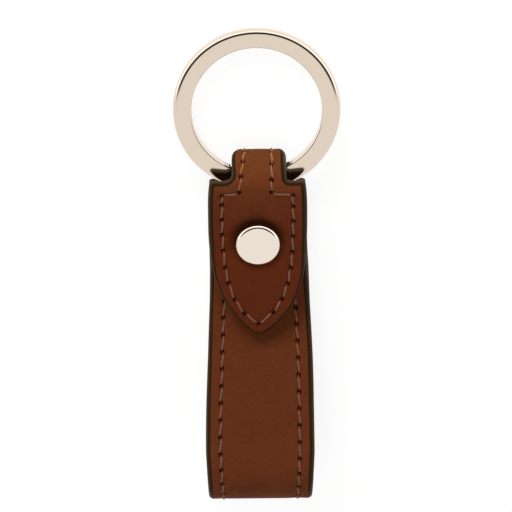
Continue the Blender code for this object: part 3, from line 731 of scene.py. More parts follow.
# Arc length, and the band's share of its full width on the left and on the right
BAND_SHARES = (
    (S_END, 0.6, 1.0),
    (S_FRONT_BEND, 0.75, 1.0),
    (S_FRONT, 0.9, 1.0),
    (S_FOLD, 1.0, 1.0),
    (0, 1.0, 1.0),
    (8 * MM, 0.7, 1.1),
    (14 * MM, 0.7, 1.1),
    (S_FLAP, 1.0, 1.0),
    (S_TIP - 20 * MM, 1.0, 1.0),
    (S_TIP - 17.5 * MM, 0.8, 0.85),
    (S_TIP - 13 * MM, 0.5, 0.6),
    (S_TIP, 0.5, 0.5),
)
# Arc length, and how bright the paint's outer rim is on the left and on the right: partly rubbed
# wear and partly a painted glint, with a painted reflection on the neck's right
RIM_WEAR_AND_GLINT = (
    (0, 0.62, 0.62),
    (7 * MM, 0.62, 0.9),
    (13 * MM, 0.62, 0.9),
    (S_FLAP - MM, 0.62, 0.62),
    (S_TIP - 20 * MM, 0.62, 0.62),
    (S_TIP - 14 * MM, 0.52, 0.52),
    (S_TIP, 0.42, 0.42),
)
CUT_SPACING = 0.8 * MM


def by_side(places, table):
    """Values at places (s, x) from a table's rows of s, left value and right value."""
    at, left, right = zip(*table)
    left, right = (np.interp(places[:, 0], at, values) for values in (left, right))
    return np.where(places[:, 1] < 0, left, right)


def band_shares(places):
    """How wide the rounded, painted band is at places (s, x), as shares of the full one."""
    return by_side(places, BAND_SHARES)


def rim_wear_and_glint(places):
    """How bright the paint's outer rim is, from wear and a painted glint: most on the neck's right,
    where a reflection is painted, least at the tip.
    """
    return by_side(places, RIM_WEAR_AND_GLINT)


def section_depths(shares):
    """Depths along the edge, from the face round the shoulder to the glued side."""
    quarter = np.linspace(0, math.pi / 2, SHOULDER_POINTS)
    across = np.concatenate([EDGE_BAND * (1 - np.sin(quarter)), [0, INNER_CHAMFER]])
    shoulder = EDGE_ROUNDING * shares[:, None] * (1 - np.cos(quarter))
    walls = np.tile((OUTER_PLY - INNER_CHAMFER, OUTER_PLY), (len(shares), 1))
    return across / EDGE_BAND, np.concatenate([shoulder, walls], axis=1)


across, depths = section_depths(np.array([1.0]))
print("edge section in mm:", (depths[0] / MM).round(2).tolist())


# %% Points for the face
ROW_OFFSETS = (0, 0.1, 0.2, 0.32, 0.46, 0.62, 0.85, 1.15)
HOLE_RINGS = (0, 0.1, 0.2, 0.3, 0.4, 0.52)
HOLE_RING_POINTS = 16
DISH_RINGS = np.arange(4.2, 8.6, 0.3)
DISH_RING_DENSITY = 18
GRID_STEP = 0.75 * MM
GRID_REACH = 12.3 * MM
GRID_TO_ROW = 1.5 * MM
FACE_TO_RIM = 0.2 * MM
SMALLEST_GAP = 0.09 * MM


def ring_places(reach, count):
    """So many places round a circle whose radius is in millimetres."""
    angles = np.linspace(0, 2 * math.pi, count + 1)[:-1]
    return np.stack([np.cos(angles), np.sin(angles)], axis=1) * reach * MM


def face_places(loop, start, end):
    """Places inside the loop: a coarse grid, rows beside the stitches and rings round holes."""
    found = []
    for offset in ROW_OFFSETS:
        for side in {1, -1} if offset else {1}:
            found.append(row_points + row_across * offset * side * MM)
    for reach in HOLE_RINGS:
        ring = ring_places(reach, HOLE_RING_POINTS)
        found.append((holes[:, None] + ring[None]).reshape(-1, 2))
    for reach in DISH_RINGS:
        found.append(ring_places(reach, int(reach * DISH_RING_DENSITY)) + (S_SNAP, 0))
    grid = np.mgrid[start:end:GRID_STEP, -GRID_REACH:GRID_REACH:GRID_STEP].reshape(2, -1).T
    found.append(grid[nearest(row_points, grid)[1] > GRID_TO_ROW])
    places = np.concatenate(found)
    places = places[(places[:, 0] > start) & (places[:, 0] < end)]
    left, right = (np.interp(places[:, 0], WIDTH_S, WIDTHS[side]) for side in (-1, 1))
    widths = np.where(places[:, 1] < 0, left, right) - EDGE_BAND * band_shares(places)
    places = places[np.abs(places[:, 1]) < widths]
    places = places[nearest(loop, places)[1] > FACE_TO_RIM]
    cells = np.round(places / SMALLEST_GAP).astype(int)
    keep = np.unique(cells, axis=0, return_index=True)[1]
    return places[np.sort(keep)]


WIDTH_S = np.arange(S_END, S_TIP, HAIR)
WIDTHS = {side: np.array([half_width(s, side) for s in WIDTH_S]) for side in (1, -1)}
print("width table:", len(WIDTH_S))


# %% Lay out one length
CORNER_SPREAD = 4
CLEAR_SHARE = 0.985


def inner_line(chain, inward):
    """The chain moved in by the painted band, without the loops that tight corners would make."""
    band = EDGE_BAND * band_shares(chain)
    moved = chain + inward * band[:, None]
    clear = nearest(chain, moved)[1] > CLEAR_SHARE * band
    clear[[0, -1]] = True
    tight = np.flatnonzero(~clear)
    for run in np.split(tight, np.flatnonzero(np.diff(tight) > 2 * CORNER_SPREAD) + 1):
        if len(run):
            first = max(0, run[0] - CORNER_SPREAD)
            last = min(len(chain), run[-1] + CORNER_SPREAD + 1)
            kept = moved[first:last][clear[first:last]]
            moved[first:last] = spread(kept, last - first)
    return moved


def chains_of(start, end):
    """The edges of one length as chains of (s, x) from cut to cut, and the paint's inner lines."""
    right = edge_line(start, end, 1)
    left = edge_line(start, end, -1)[::-1] * (1, -1)
    if start <= S_END:
        chains = [np.concatenate([left, right[1:]])]
    elif end >= S_TIP:
        chains = [np.concatenate([right, left[1:]])]
    else:
        chains = [right, left]
    inner = []
    for chain in chains:
        tangent = np.gradient(chain, axis=0)
        tangent /= np.linalg.norm(tangent, axis=1)[:, None]
        inward = np.stack([tangent[:, 1], -tangent[:, 0]], axis=1)
        for i in (0, -1):
            inward[i] = (0, -np.sign(chain[i, 1]))
        inner.append(inner_line(chain, inward))
    return chains, inner


def cut_line(first, last):
    """Points across a cut, between two corners."""
    count = round(abs(last[1] - first[1]) / CUT_SPACING)
    shares = np.linspace(0, 1, count + 1)[1:-1, None]
    return first + (last - first) * shares


chains, inner = chains_of(S_FOLD + MM, -MM)
print("back panel chains:", [len(chain) for chain in chains])


# %% Lay a ply's edges
def lay_edges(chains, inner, face_depth, outward):
    """Points of the swept edges and the cuts: their (s, x) places, depths and shares of rim wear
    and painted glint, the numbers of each edge's points and of each cut's, and the loop round the
    face."""
    flat, depth, wear_and_painted_light, edge_ids, cut_ids, loop = [], [], [], [], [], []
    for chain, line in zip(chains, inner):
        across, depths = section_depths(band_shares(chain))
        places = chain[:, None] + (line - chain)[:, None] * across[None, :, None]
        edge_ids.append(len(flat) + np.arange(places[:, :, 0].size).reshape(places.shape[:2]))
        flat.extend(places.reshape(-1, 2))
        depth.extend((face_depth + outward * depths).ravel())
        wear_and_painted_light.extend((rim_wear_and_glint(chain)[:, None] * (1 - across[None])).ravel())
    for i, ids in enumerate(edge_ids):
        following = edge_ids[(i + 1) % len(edge_ids)]
        rows = []
        for column, at in ((0, face_depth), (-1, face_depth + outward * OUTER_PLY)):
            line = cut_line(flat[ids[-1, column]], flat[following[0, column]])
            rows.append(len(flat) + np.arange(len(line)))
            flat.extend(line)
            depth.extend([at] * len(line))
        cut_ids.append(rows)
        loop.extend(ids[:, 0].tolist() + rows[0].tolist())
    return flat, depth, wear_and_painted_light, edge_ids, cut_ids, loop


laid = lay_edges(chains, inner, 0, 1)
print("edge and cut points of the back:", len(laid[0]))


# %% Join a ply's faces
def join_faces(flat, top, rim_count, edge_ids, cut_ids):
    """Faces of a closed ply with their material numbers: leather is 0 and painted edge is 1."""
    rim_edges = [(i, (i + 1) % rim_count) for i in range(rim_count)]
    made = delaunay_2d_cdt([Vector(flat[i] / MM) for i in top], rim_edges, [], 1, 1e-6)
    first, count = top[rim_count], len(top) - rim_count
    hidden_of = {int(row[0]): int(row[-1]) for ids in edge_ids for row in ids}
    for rows in cut_ids:
        hidden_of.update(zip(rows[0].tolist(), rows[1].tolist()))
    hidden_of.update((i, i + count) for i in range(first, first + count))
    faces, finish = [], []
    for triangle in made[2]:
        corners = [top[made[3][i][0]] for i in triangle]
        faces += [corners, [hidden_of[i] for i in reversed(corners)]]
        finish += [0, 0]
    for ids in edge_ids:
        for a, b in zip(ids[:-1].tolist(), ids[1:].tolist()):
            for k in range(len(a) - 1):
                faces.append([a[k], b[k], b[k + 1], a[k + 1]])
                finish.append(1)
    for i, (ids, rows) in enumerate(zip(edge_ids, cut_ids)):
        following = edge_ids[(i + 1) % len(edge_ids)]
        cap = ids[-1].tolist() + rows[1].tolist()
        faces.append(cap + following[0][::-1].tolist() + rows[0][::-1].tolist())
        finish.append(0)
    return faces, finish


print("faces are joined by join_faces")


# %% Turn a mesh into an object
def add_object(name, mesh, *materials, weld=0, sharp=180):
    """An object of the mesh, smooth but for edges sharper than this, with all faces outward.
    Points that lie closer than the weld are joined, and points without a face are taken out."""
    bm = bmesh.new()
    bm.from_mesh(mesh)
    if weld:
        bmesh.ops.remove_doubles(bm, verts=bm.verts, dist=weld)
    unused = [point for point in bm.verts if not point.link_faces]
    bmesh.ops.delete(bm, geom=unused, context="VERTS")
    bmesh.ops.recalc_face_normals(bm, faces=bm.faces)
    bm.to_mesh(mesh)
    bm.free()
    mesh.shade_smooth()
    if sharp < 180:
        mesh.set_sharp_from_angle(angle=math.radians(sharp))
    for material in materials:
        mesh.materials.append(material)
    obj = bpy.data.objects.new(name, mesh)
    bpy.context.scene.collection.objects.link(obj)
    print(name, len(mesh.polygons), "faces")
    return obj


def mark_points(mesh, name, values):
    """Leaves a number on each point, which a material can read by its name."""
    mesh.attributes.new(name, "FLOAT", "POINT").data.foreach_set("value", values)


print("objects are made by add_object")


# %% Build one ply of one length
TEXTURE_UNIT = 100 * MM
LEATHER_SHARP = 65


def make_ply(name, start, end, outside, materials, dish):
    """A closed mesh of one ply: a visible face with relief, a swept edge and an inner face."""
    chains, inner = chains_of(start, end)
    face_depth, outward = (0, 1) if outside else (STRAP_THICKNESS, -1)
    flat, depth, wear_and_painted_light, edge_ids, cut_ids, loop = lay_edges(chains, inner, face_depth, outward)
    inside = face_places(np.array([flat[i] for i in loop]), start, end)
    pressed, hole = relief(inside, dish)
    first, count = len(flat), len(inside)
    flat = np.concatenate([flat, inside, inside])
    depth += (face_depth + outward * pressed).tolist() + [face_depth + outward * OUTER_PLY] * count
    top = loop + list(range(first, first + count))
    faces, finish = join_faces(flat, top, len(loop), edge_ids, cut_ids)
    mesh = bpy.data.meshes.new(name)
    mesh.from_pydata(strap_points(flat[:, 0], flat[:, 1], depth), [], faces)
    mesh.polygons.foreach_set("material_index", finish)
    unrolled = flat[:, 1] + np.sign(flat[:, 1]) * np.abs(np.array(depth) - face_depth)
    laid_flat = np.stack([unrolled, flat[:, 0]], axis=1) / TEXTURE_UNIT
    corner_of = np.zeros(len(mesh.loops), np.int32)
    mesh.loops.foreach_get("vertex_index", corner_of)
    mesh.uv_layers.new(name="flat_strip").data.foreach_set("uv", laid_flat[corner_of].ravel())
    # The mark holds painted shade inside the holes on the face, and the rim's wear and painted
    # glint on the edge.
    mark = np.zeros(len(flat))
    mark[first : first + count] = hole
    mark[: len(wear_and_painted_light)] = wear_and_painted_light
    mark_points(mesh, "mark", mark)
    # The tone carries the painted light and shade along the strap and round the cap's rim.
    mark_points(mesh, "tone", painted_shading(flat))
    # The stretch also carries painted light on the neck's top.
    mark_points(mesh, "stretch_and_neck_light", np.interp(flat[:, 0], TONE_S, STRETCH_AND_NECK_LIGHT))
    return add_object(name, mesh, *materials, sharp=LEATHER_SHARP)


print("one texture unit in mm:", round(TEXTURE_UNIT / MM))

# %% [markdown]
# ## Leather, edge paint and lining
# Smooth calf has a fine closed grain, a slow drift in its dye and a dull wax gloss. The pattern
# is laid on the flat strip and not in space, so it bends with the leather. Inside the holes the
# leather is painted dark, as painted shade. The edge paint is a thin acrylic, dark brown beside
# the face; its outer rim is lighter, olive and grey, partly from rubbing and partly a painted
# glint, and brightest on the neck's right, where a reflection is painted. The lining is the same
# calf with its grain less pressed.


# %% Nodes for leather and metal
def texture(tree, kind, scale, **settings):
    """A procedural texture on the flat strip, with its scale in spots for each millimetre."""
    node = add_node(tree, kind, Scale=scale * TEXTURE_UNIT / MM, **settings)
    place = tree.nodes.get("flat place") or add_node(tree, "TexCoord", name="flat place")
    tree.links.new(place.outputs["UV"], node.inputs["Vector"])
    return node


def ramp(tree, value, colours, places=(0, 0.5, 1)):
    """The value turned into a colour by a ramp."""
    node = add_node(tree, "ValToRGB")
    elements = node.color_ramp.elements
    for _ in colours[2:]:
        elements.new(0.5)
    for element, place, colour in zip(elements, places, colours):
        element.position = place
        element.color = (*colour, 1)
    tree.links.new(value, node.inputs["Fac"])
    return node.outputs["Color"]


def painted(tree, name):
    """What the mesh's points carry under this name."""
    return add_node(tree, "Attribute", attribute_name=name).outputs["Fac"]


def add_bump(tree, shader, height, strength, distance):
    """Fine relief for the shader, as high as the distance in metres."""
    bump = add_node(tree, "Bump", Strength=strength, Distance=distance)
    tree.links.new(height, bump.inputs["Height"])
    tree.links.new(bump.outputs["Normal"], shader.inputs["Normal"])


def vary_roughness(tree, shader, value, low, high):
    """Roughness from low to high as the value goes from 0 to 1."""
    gloss = add_node(tree, "MapRange", To_Min=low, To_Max=high)
    tree.links.new(value, gloss.inputs["Value"])
    tree.links.new(gloss.outputs["Result"], shader.inputs["Roughness"])


print("material helpers ready")

# %% Mix the leather
DRIFT = {"From_Min": 0.32, "From_Max": 0.68, "To_Min": 0.92, "To_Max": 1.07}
DRIFT_SCALE = 0.22
MOTTLE = 0.5
MOTTLE_SCALE = 1.3
PORE_SCALE = 2.6
GRAIN_SCALE = 5.0
GRAIN_HEIGHT = 0.02 * MM
GLOSS_SPREAD = 0.05
HOLE_PAINTED_SHADE = (0.030, 0.004, 0.002)


def leather(name, dyes_and_neck_light, roughness, specular, grain):
    """Calf leather: a drifting brown, paler and yellower over the neck from stretch and painted
    light, with painted light and shade along the strap, painted shade in the holes, and a fine
    grain.
    """
    material, tree, shader = new_material(name)
    drift = texture(tree, "TexNoise", DRIFT_SCALE, Detail=5.0, Roughness=0.62)
    uneven = add_node(tree, "MapRange", **DRIFT)
    tree.links.new(drift.outputs["Fac"], uneven.inputs["Value"])
    mottle = texture(tree, "TexNoise", MOTTLE_SCALE, Detail=4.0, Roughness=0.7)
    speck = math_node(tree, "MULTIPLY", mottle.outputs["Fac"], MOTTLE)
    speck = math_node(tree, "ADD", speck, 1 - MOTTLE / 2)
    wear_and_painted_light = add_node(tree, "VectorMath", operation="SCALE")
    tree.links.new(ramp(tree, painted(tree, "stretch_and_neck_light"), dyes_and_neck_light), wear_and_painted_light.inputs[0])
    strength = product(tree, uneven.outputs["Result"], painted(tree, "tone"), speck)
    tree.links.new(strength, wear_and_painted_light.inputs["Scale"])
    # Painted shade darkens the leather inside the holes.
    dark = add_node(tree, "Mix", data_type="RGBA")
    tree.links.new(painted(tree, "mark"), dark.inputs["Factor"])
    tree.links.new(wear_and_painted_light.outputs["Vector"], dark.inputs[6])
    dark.inputs[7].default_value = (*HOLE_PAINTED_SHADE, 1)
    tree.links.new(dark.outputs[2], shader.inputs["Base Color"])
    pores = texture(tree, "TexVoronoi", PORE_SCALE, feature="SMOOTH_F1")
    fine = texture(tree, "TexNoise", GRAIN_SCALE, Detail=3.0)
    height = math_node(tree, "ADD", pores.outputs["Distance"], fine.outputs["Fac"])
    add_bump(tree, shader, height, grain, GRAIN_HEIGHT)
    low, high = roughness - GLOSS_SPREAD, roughness + GLOSS_SPREAD
    vary_roughness(tree, shader, fine.outputs["Fac"], low, high)
    shader.inputs["Specular IOR Level"].default_value = specular
    return material


# The third colour, at full stretch, is paler and yellower: partly stretched leather and partly
# painted light on the neck's top.
OUTER_DYES_AND_NECK_LIGHT = ((0.128, 0.026, 0.0078), (0.132, 0.0333, 0.0109), (0.19, 0.057, 0.0167))
LINING_DYES_AND_NECK_LIGHT = ((0.078, 0.022, 0.008), (0.078, 0.022, 0.008), (0.09, 0.026, 0.009))
outer_leather = leather("brown_calf", OUTER_DYES_AND_NECK_LIGHT, roughness=0.6, specular=0.03, grain=0.5)
lining_leather = leather("lining_calf", LINING_DYES_AND_NECK_LIGHT, roughness=0.65, specular=0.06, grain=0.4)
print("leathers:", outer_leather.name, lining_leather.name)

# %% Mix the edge paint
PAINT_PLACES = (0.26, 0.55, 0.88)
# The outer, grey colour is partly wear and partly a painted glint.
PAINT_COLOURS = ((0.030, 0.0135, 0.006), (0.086, 0.056, 0.029), (0.25, 0.23, 0.19))
RIPPLE_SCALE = 0.9
RIPPLE_HEIGHT = 0.05 * MM
edge_paint, tree, shader = new_material("edge_paint")
shader.inputs["Roughness"].default_value = 0.5
shader.inputs["Specular IOR Level"].default_value = 0.04
paint_wear_and_glint = ramp(tree, painted(tree, "mark"), PAINT_COLOURS, PAINT_PLACES)
tree.links.new(paint_wear_and_glint, shader.inputs["Base Color"])
ripple = texture(tree, "TexNoise", RIPPLE_SCALE, Detail=4.0)
add_bump(tree, shader, ripple.outputs["Fac"], 0.5, RIPPLE_HEIGHT)
print("paint:", edge_paint.name)

# %% [markdown]
# ## The three lengths
# The upper length carries the flap over the neck, and bends just in front of the ring. The back
# length lies still. The lower length rolls round the bottom fold into the front panel. A piece
# that rode on one body only would tear at its hinge. Here the back length rides on the strap,
# while the upper and lower lengths have their places baked into their points and ride on no body.

# %% Cut, fold and place them
CUT_TO_BEND = 1 * MM
CUT_ABOVE = -CUT_TO_BEND
CUT_BELOW = S_FOLD + CUT_TO_BEND
LENGTHS = {
    "upper": (CUT_ABOVE, S_TIP, ("flap", "neck"), "flap"),
    "back": (CUT_BELOW, CUT_ABOVE, ("back",), None),
    "lower": (S_END, CUT_BELOW, ("fold", "front"), "front_panel"),
}


def hinge(obj, body):
    """The piece rides on the strap when it has no body; otherwise its place is baked into its
    points.
    """
    if body is None:
        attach(obj, "strap")
    else:
        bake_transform(obj)


for length, (start, end, nodes, body) in LENGTHS.items():
    for ply, face in (("outer", outer_leather), ("lining", lining_leather)):
        outside = ply == "outer"
        dish = length == "upper" and outside
        piece = make_ply(f"strap_{length}_{ply}", start, end, outside, (face, edge_paint), dish)
        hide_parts(*(f"{node}_{ply}" for node in nodes))
        hinge(piece, body)

# %% [markdown]
# ## The thread
# Waxed thread of three twisted yarns, about half a millimetre thick. Each stitch is a short tube
# that rises from one hole, lies in the groove and dips into the next. The yarns are made by
# giving the tube three lobes and turning them along it; three separate yarns would cost three
# times the faces and look the same at this size. Over the neck the thread's colour is lighter,
# which is painted light, and the ends of each stitch carry a painted glint. The same holes serve
# the lining's side. Under the back panel the stitches lie flush, because the strap rests on it.

# %% Twist the thread
THREAD_RADIUS = 0.235 * MM
THREAD_LOBE = 0.14
THREAD_TWIST_LENGTH = 1.5 * MM
THREAD_SIDES = 9
THREAD_RINGS = 21
SINK_DEPTH = 1.0 * MM
SINK_LENGTH = 0.53 * MM
STITCH_SLANT = 0.16 * MM
END_PAINTED_GLINT = 0.12
THREAD_TONES = ((0.15, 0.062, 0.038), (0.24, 0.108, 0.072))
# Painted light: the thread's colour is lightened over the neck and at each stitch's ends.
THREAD_PAINTED_LIGHT = ((1, 1, 1), (2.2, 2.0, 1.35))
thread_material, tree, shader = new_material("waxed_thread")
shader.inputs["Roughness"].default_value = 0.6
shader.inputs["Specular IOR Level"].default_value = 0.3
fibre = add_node(tree, "TexNoise", Scale=900.0, Detail=3.0)
tree.links.new(add_node(tree, "TexCoord").outputs["Object"], fibre.inputs["Vector"])
lit = add_node(tree, "VectorMath", operation="MULTIPLY")
tree.links.new(ramp(tree, fibre.outputs["Fac"], THREAD_TONES, (0, 1)), lit.inputs[0])
tree.links.new(ramp(tree, painted(tree, "light"), THREAD_PAINTED_LIGHT, (0.5, 1)), lit.inputs[1])
tree.links.new(lit.outputs["Vector"], shader.inputs["Base Color"])


def tube_faces(rings, sides):
    """Faces of a tube that is closed at both ends, with its points numbered ring by ring."""
    faces = []
    for start in range(0, (rings - 1) * sides, sides):
        for k in range(sides):
            a, b = start + k, start + (k + 1) % sides
            faces.append((a, b, b + sides, a + sides))
    return faces + [tuple(range(sides))[::-1], tuple(range((rings - 1) * sides, rings * sides))]


def stitch(first, last, face_depth, outward, proud):
    """Points and faces of one stitch between two holes."""
    way = last - first
    length = math.hypot(*way)
    across = np.array((-way[1], way[0])) / length
    side = 1 if first[1] + last[1] >= 0 else -1
    shares = np.linspace(0, 1, THREAD_RINGS)
    reach = 0.5 - 0.5 * np.cos(math.pi * shares)
    from_end = np.minimum(reach, 1 - reach) * length
    sunk = SINK_DEPTH * np.exp(-((from_end / SINK_LENGTH) ** 2))
    slant = STITCH_SLANT * side * np.sin(math.pi * (reach - 0.5))
    middle = first + way * reach[:, None] + across * slant[:, None]
    depth = THREAD_RADIUS - proud + sunk
    angles = np.linspace(0, 2 * math.pi, THREAD_SIDES + 1)[:-1]
    turned = 2 * math.pi * reach * length / THREAD_TWIST_LENGTH
    lobes = 1 + THREAD_LOBE * np.cos(3 * (angles[None] - turned[:, None]))
    wide = THREAD_RADIUS * lobes * np.cos(angles)[None]
    high = THREAD_RADIUS * lobes * np.sin(angles)[None]
    flat = (middle[:, None] + across * wide[:, :, None]).reshape(-1, 2)
    deep = face_depth + outward * (depth[:, None] - high)
    points = strap_points(flat[:, 0], flat[:, 1], deep.ravel())
    ends = np.repeat(1 - 2 * np.minimum(reach, 1 - reach), THREAD_SIDES)
    # Painted light on the neck's stitches and a painted glint towards each stitch's ends
    light = 0.5 + 0.5 * np.interp(flat[:, 0], TONE_S, NECK_THREAD_PAINTED_LIGHT) + END_PAINTED_GLINT * ends**2
    return points, tube_faces(THREAD_RINGS, THREAD_SIDES), light


points, faces, light = stitch(holes[0], holes[1], 0.0, 1, 0.1 * MM)
print("one stitch:", len(faces), "faces")

# %% Sew the strap
PROUD = 0.16 * MM
FLUSH = -0.02 * MM
LIES_FROM = S_FOLD - 3 * MM
LIES_TO = 2 * MM
STITCHING = {
    "upper": ("flap_stitching", "neck_stitching_right", "neck_stitching_left"),
    "back": ("back_stitching_right", "back_stitching_left"),
    "lower": ("fold_stitching_right", "fold_stitching_left", "front_stitching"),
}
for length, (start, end, nodes, body) in LENGTHS.items():
    points, faces, lights = [], [], []
    for first, last in zip(holes, np.roll(holes, -1, axis=0)):
        if not start <= (first[0] + last[0]) / 2 < end:
            continue
        for face_depth, outward in ((0.0, 1), (STRAP_THICKNESS, -1)):
            lies = face_depth == 0 and LIES_FROM < first[0] < LIES_TO
            proud = FLUSH if lies else PROUD
            made, corners, light = stitch(first, last, face_depth, outward, proud)
            before = sum(len(block) for block in points)
            faces += [tuple(before + i for i in corner) for corner in corners]
            points.append(made)
            lights.append(light)
    mesh = bpy.data.meshes.new(f"thread_{length}")
    mesh.from_pydata(np.concatenate(points), [], faces)
    mark_points(mesh, "light", np.concatenate(lights))
    thread = add_object(mesh.name, mesh, thread_material)
    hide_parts(*STITCHING[length])
    hinge(thread, body)

# %% [markdown]
# ## Polished metal
# The ring and the cap are nickel plated and polished, with a warm tone beside chrome. Polishing
# leaves hair-fine scratches and a very slow waviness, which keep a mirror from looking drawn.
# A perfectly smooth metal would be simpler, but no real plating is one.


# %% Plate the metal
WAVE_SCALE = 260.0
WAVE_HEIGHT = 0.01 * MM
SCRATCH_SCALE = 2600.0
LEAST_ROUGHNESS = 0.02


def plated(name, colour, roughness, wave, scratch):
    """Plated metal: one tone, a slow waviness and fine scratches."""
    material, tree, shader = new_material(name)
    shader.inputs["Base Color"].default_value = (*colour, 1)
    shader.inputs["Metallic"].default_value = 1
    place = add_node(tree, "TexCoord")
    slow = add_node(tree, "TexNoise", Scale=WAVE_SCALE, Detail=2.0)
    fine = add_node(tree, "TexNoise", Scale=SCRATCH_SCALE, Detail=4.0)
    for node in (slow, fine):
        tree.links.new(place.outputs["Object"], node.inputs["Vector"])
    low, high = max(LEAST_ROUGHNESS, roughness - scratch), roughness + scratch
    vary_roughness(tree, shader, fine.outputs["Fac"], low, high)
    add_bump(tree, shader, slow.outputs["Fac"], wave, WAVE_HEIGHT)
    return material


ring_metal = plated("polished_nickel", (0.81, 0.69, 0.575), roughness=0.1, wave=0.2, scratch=0.04)
cap_metal = plated("cap_nickel", (0.90, 0.81, 0.71), roughness=0.1, wave=0.15, scratch=0.03)
fitting_metal = plated("tumbled_nickel", (0.66, 0.62, 0.57), roughness=0.26, wave=0.4, scratch=0.07)
spring_metal = plated("spring_wire", (0.52, 0.51, 0.50), roughness=0.3, wave=0.3, scratch=0.06)
print("metals:", ring_metal.name, cap_metal.name, fitting_metal.name, spring_metal.name)

# %% Stand for a metal solid
METAL_PIECES = {
    "split_ring": ("wound_ring", ring_metal, "ring_metal", "ring"),
    "snap_cap": ("stud_cap", cap_metal, "cap_metal", "flap"),
    "snap_socket": ("stud_socket", fitting_metal, "fitting_metal", "flap"),
    "socket_spring": ("stud_spring", spring_metal, "spring_steel", "flap"),
    "snap_stud": ("stud_post", fitting_metal, "fitting_metal", "front_panel"),
    "snap_eyelet": ("stud_eyelet", fitting_metal, "fitting_metal", "front_panel"),
}
METAL_WELD = 0.0005 * MM
METAL_SHARP = 40


def metal_piece(node, points, faces, place):
    """A smooth metal mesh that stands for a solid and rides on its body."""
    name, material, slot, body = METAL_PIECES[node]
    mesh = bpy.data.meshes.new(name)
    mesh.from_pydata(points, [], faces)
    obj = add_object(name, mesh, material, weld=METAL_WELD, sharp=METAL_SHARP)
    obj.data.transform(place)
    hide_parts(node)
    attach(obj, body)


print("metal solids to replace:", len(METAL_PIECES))

# %% [markdown]
# ## The split ring
# Flat wire is wound nearly twice, hammered and ground flat, so its two turns lie face to face and
# the upper one steps down to the lower in a short crossover. The wire's section is swept round
# the ring by numbers here, because a curve's bevel would spin the flat faces in the crossover.
# The ring lies in the neck's bend and leans down to the surface that the strap lies on.

# %% The wire's section
OUTER_BEVEL = (1.1 * MM, 0.8 * MM)
INNER_BEVEL = (0.4 * MM, 0.32 * MM)
BETWEEN_TURNS = (0.15 * MM, 0.15 * MM)
BEVEL_POINTS = 9
SECTION_CORNERS = (
    (1, 1, OUTER_BEVEL),
    (-1, 1, INNER_BEVEL),
    (-1, -1, INNER_BEVEL),
    (1, -1, OUTER_BEVEL),
)


def wire_section(shrink, upper):
    """The wire's outline as (across, up): its bevels lie on the stack's outside, so the share
    of the upper turn says which corners are eased widely."""
    outline = []
    wide, thick = RING_BAND / 2 - shrink, RING_LAYER / 2 - shrink
    for i, (x, y, bevel) in enumerate(SECTION_CORNERS):
        share = upper if y > 0 else 1 - upper
        reach, drop = (b * share + small * (1 - share) for b, small in zip(bevel, BETWEEN_TURNS))
        reach, drop = max(reach - shrink, shrink / 4), max(drop - shrink, shrink / 4)
        for angle in np.linspace(i, i + 1, BEVEL_POINTS) * math.pi / 2:
            over = x * (wide - reach) + math.cos(angle) * reach
            outline.append((over, y * (thick - drop) + math.sin(angle) * drop))
    return np.array(outline)


print("section points:", len(wire_section(0, 1)))

# %% Wind the ring
RING_OPEN_ANGLE = math.radians(271)
RING_CROSSOVER = math.radians(25)
RING_END_ROUNDING = 0.25 * MM
RING_END_POINTS = 4
RING_STEP = math.radians(1.5)
total = 4 * math.pi - RING_CROSSOVER
turned = np.linspace(0, total, round(total / RING_STEP) + 1)
ends = np.linspace(0, math.pi / 2, RING_END_POINTS + 1)[:-1]
inset = RING_END_ROUNDING * (1 - np.sin(ends))
setback = RING_END_ROUNDING * (1 - np.cos(ends)) / RING_MEAN_RADIUS
rounding = RING_END_ROUNDING / RING_MEAN_RADIUS
middle = turned[(turned > rounding) & (turned < total - rounding)]
turned = np.concatenate([setback, middle, total - setback[::-1]])
shrinks = np.concatenate([inset, np.zeros(len(middle)), inset[::-1]])
along = np.clip((turned - (2 * math.pi - RING_CROSSOVER)) / RING_CROSSOVER, 0, 1)
uppers = 1 - along**2 * (3 - 2 * along)
heights = (RING_LAYER + RING_GAP) * (uppers - 0.5)
rings = []
for angle, height, shrink, upper in zip(RING_OPEN_ANGLE + turned, heights, shrinks, uppers):
    out, rise = wire_section(shrink, upper).T
    reach = RING_MEAN_RADIUS + out
    rings.append(
        np.stack([reach * math.cos(angle), reach * math.sin(angle), height + rise], axis=1)
    )
rings = np.array(rings)
faces = tube_faces(rings.shape[0], rings.shape[1])
lean = Matrix.Translation(RING_AXIS) @ Matrix.Rotation(-RING_LEAN, 4, "X")
lean = lean @ Matrix.Translation((0, RING_MEAN_RADIUS, 0))
metal_piece("split_ring", rings.reshape(-1, 3), faces, lean)

# %% [markdown]
# ## The press stud
# Four turned or pressed metal parts and a wire spring. The cap's post goes through the flap and
# is spread inside the socket. The stud is held by an eyelet from behind the front panel. Each is
# a profile turned about the snap's axis, with its corners rounded, since sheet metal that was
# drawn in a press has no sharp edge. A bevel modifier on a lathed mesh would do as well, but the
# cap's crown needs its own slopes: nearly flat, then ever steeper towards the rim.

# %% Turn a rounded profile
TURNED_STEPS = 96
CORNER_STEPS = 4
SNAP_PLACE = Matrix.Translation((0, NECK_Y - SNAP_DISTANCE, 0))


def rounded(profile, radius):
    """The closed profile with each corner eased by about the radius, except on the axis."""
    profile = np.array(profile, float)
    befores, afters = np.roll(profile, 1, axis=0), np.roll(profile, -1, axis=0)
    made = []
    for before, corner, after in zip(befores, profile, afters):
        if corner[0] == 0:
            made.append(corner)
            continue
        reach = min(radius, math.dist(before, corner) * 0.45, math.dist(after, corner) * 0.45)
        a = corner + (before - corner) / math.dist(before, corner) * reach
        b = corner + (after - corner) / math.dist(after, corner) * reach
        for share in np.linspace(0, 1, CORNER_STEPS + 1):
            made.append((1 - share) ** 2 * a + 2 * share * (1 - share) * corner + share**2 * b)
    return np.array(made)


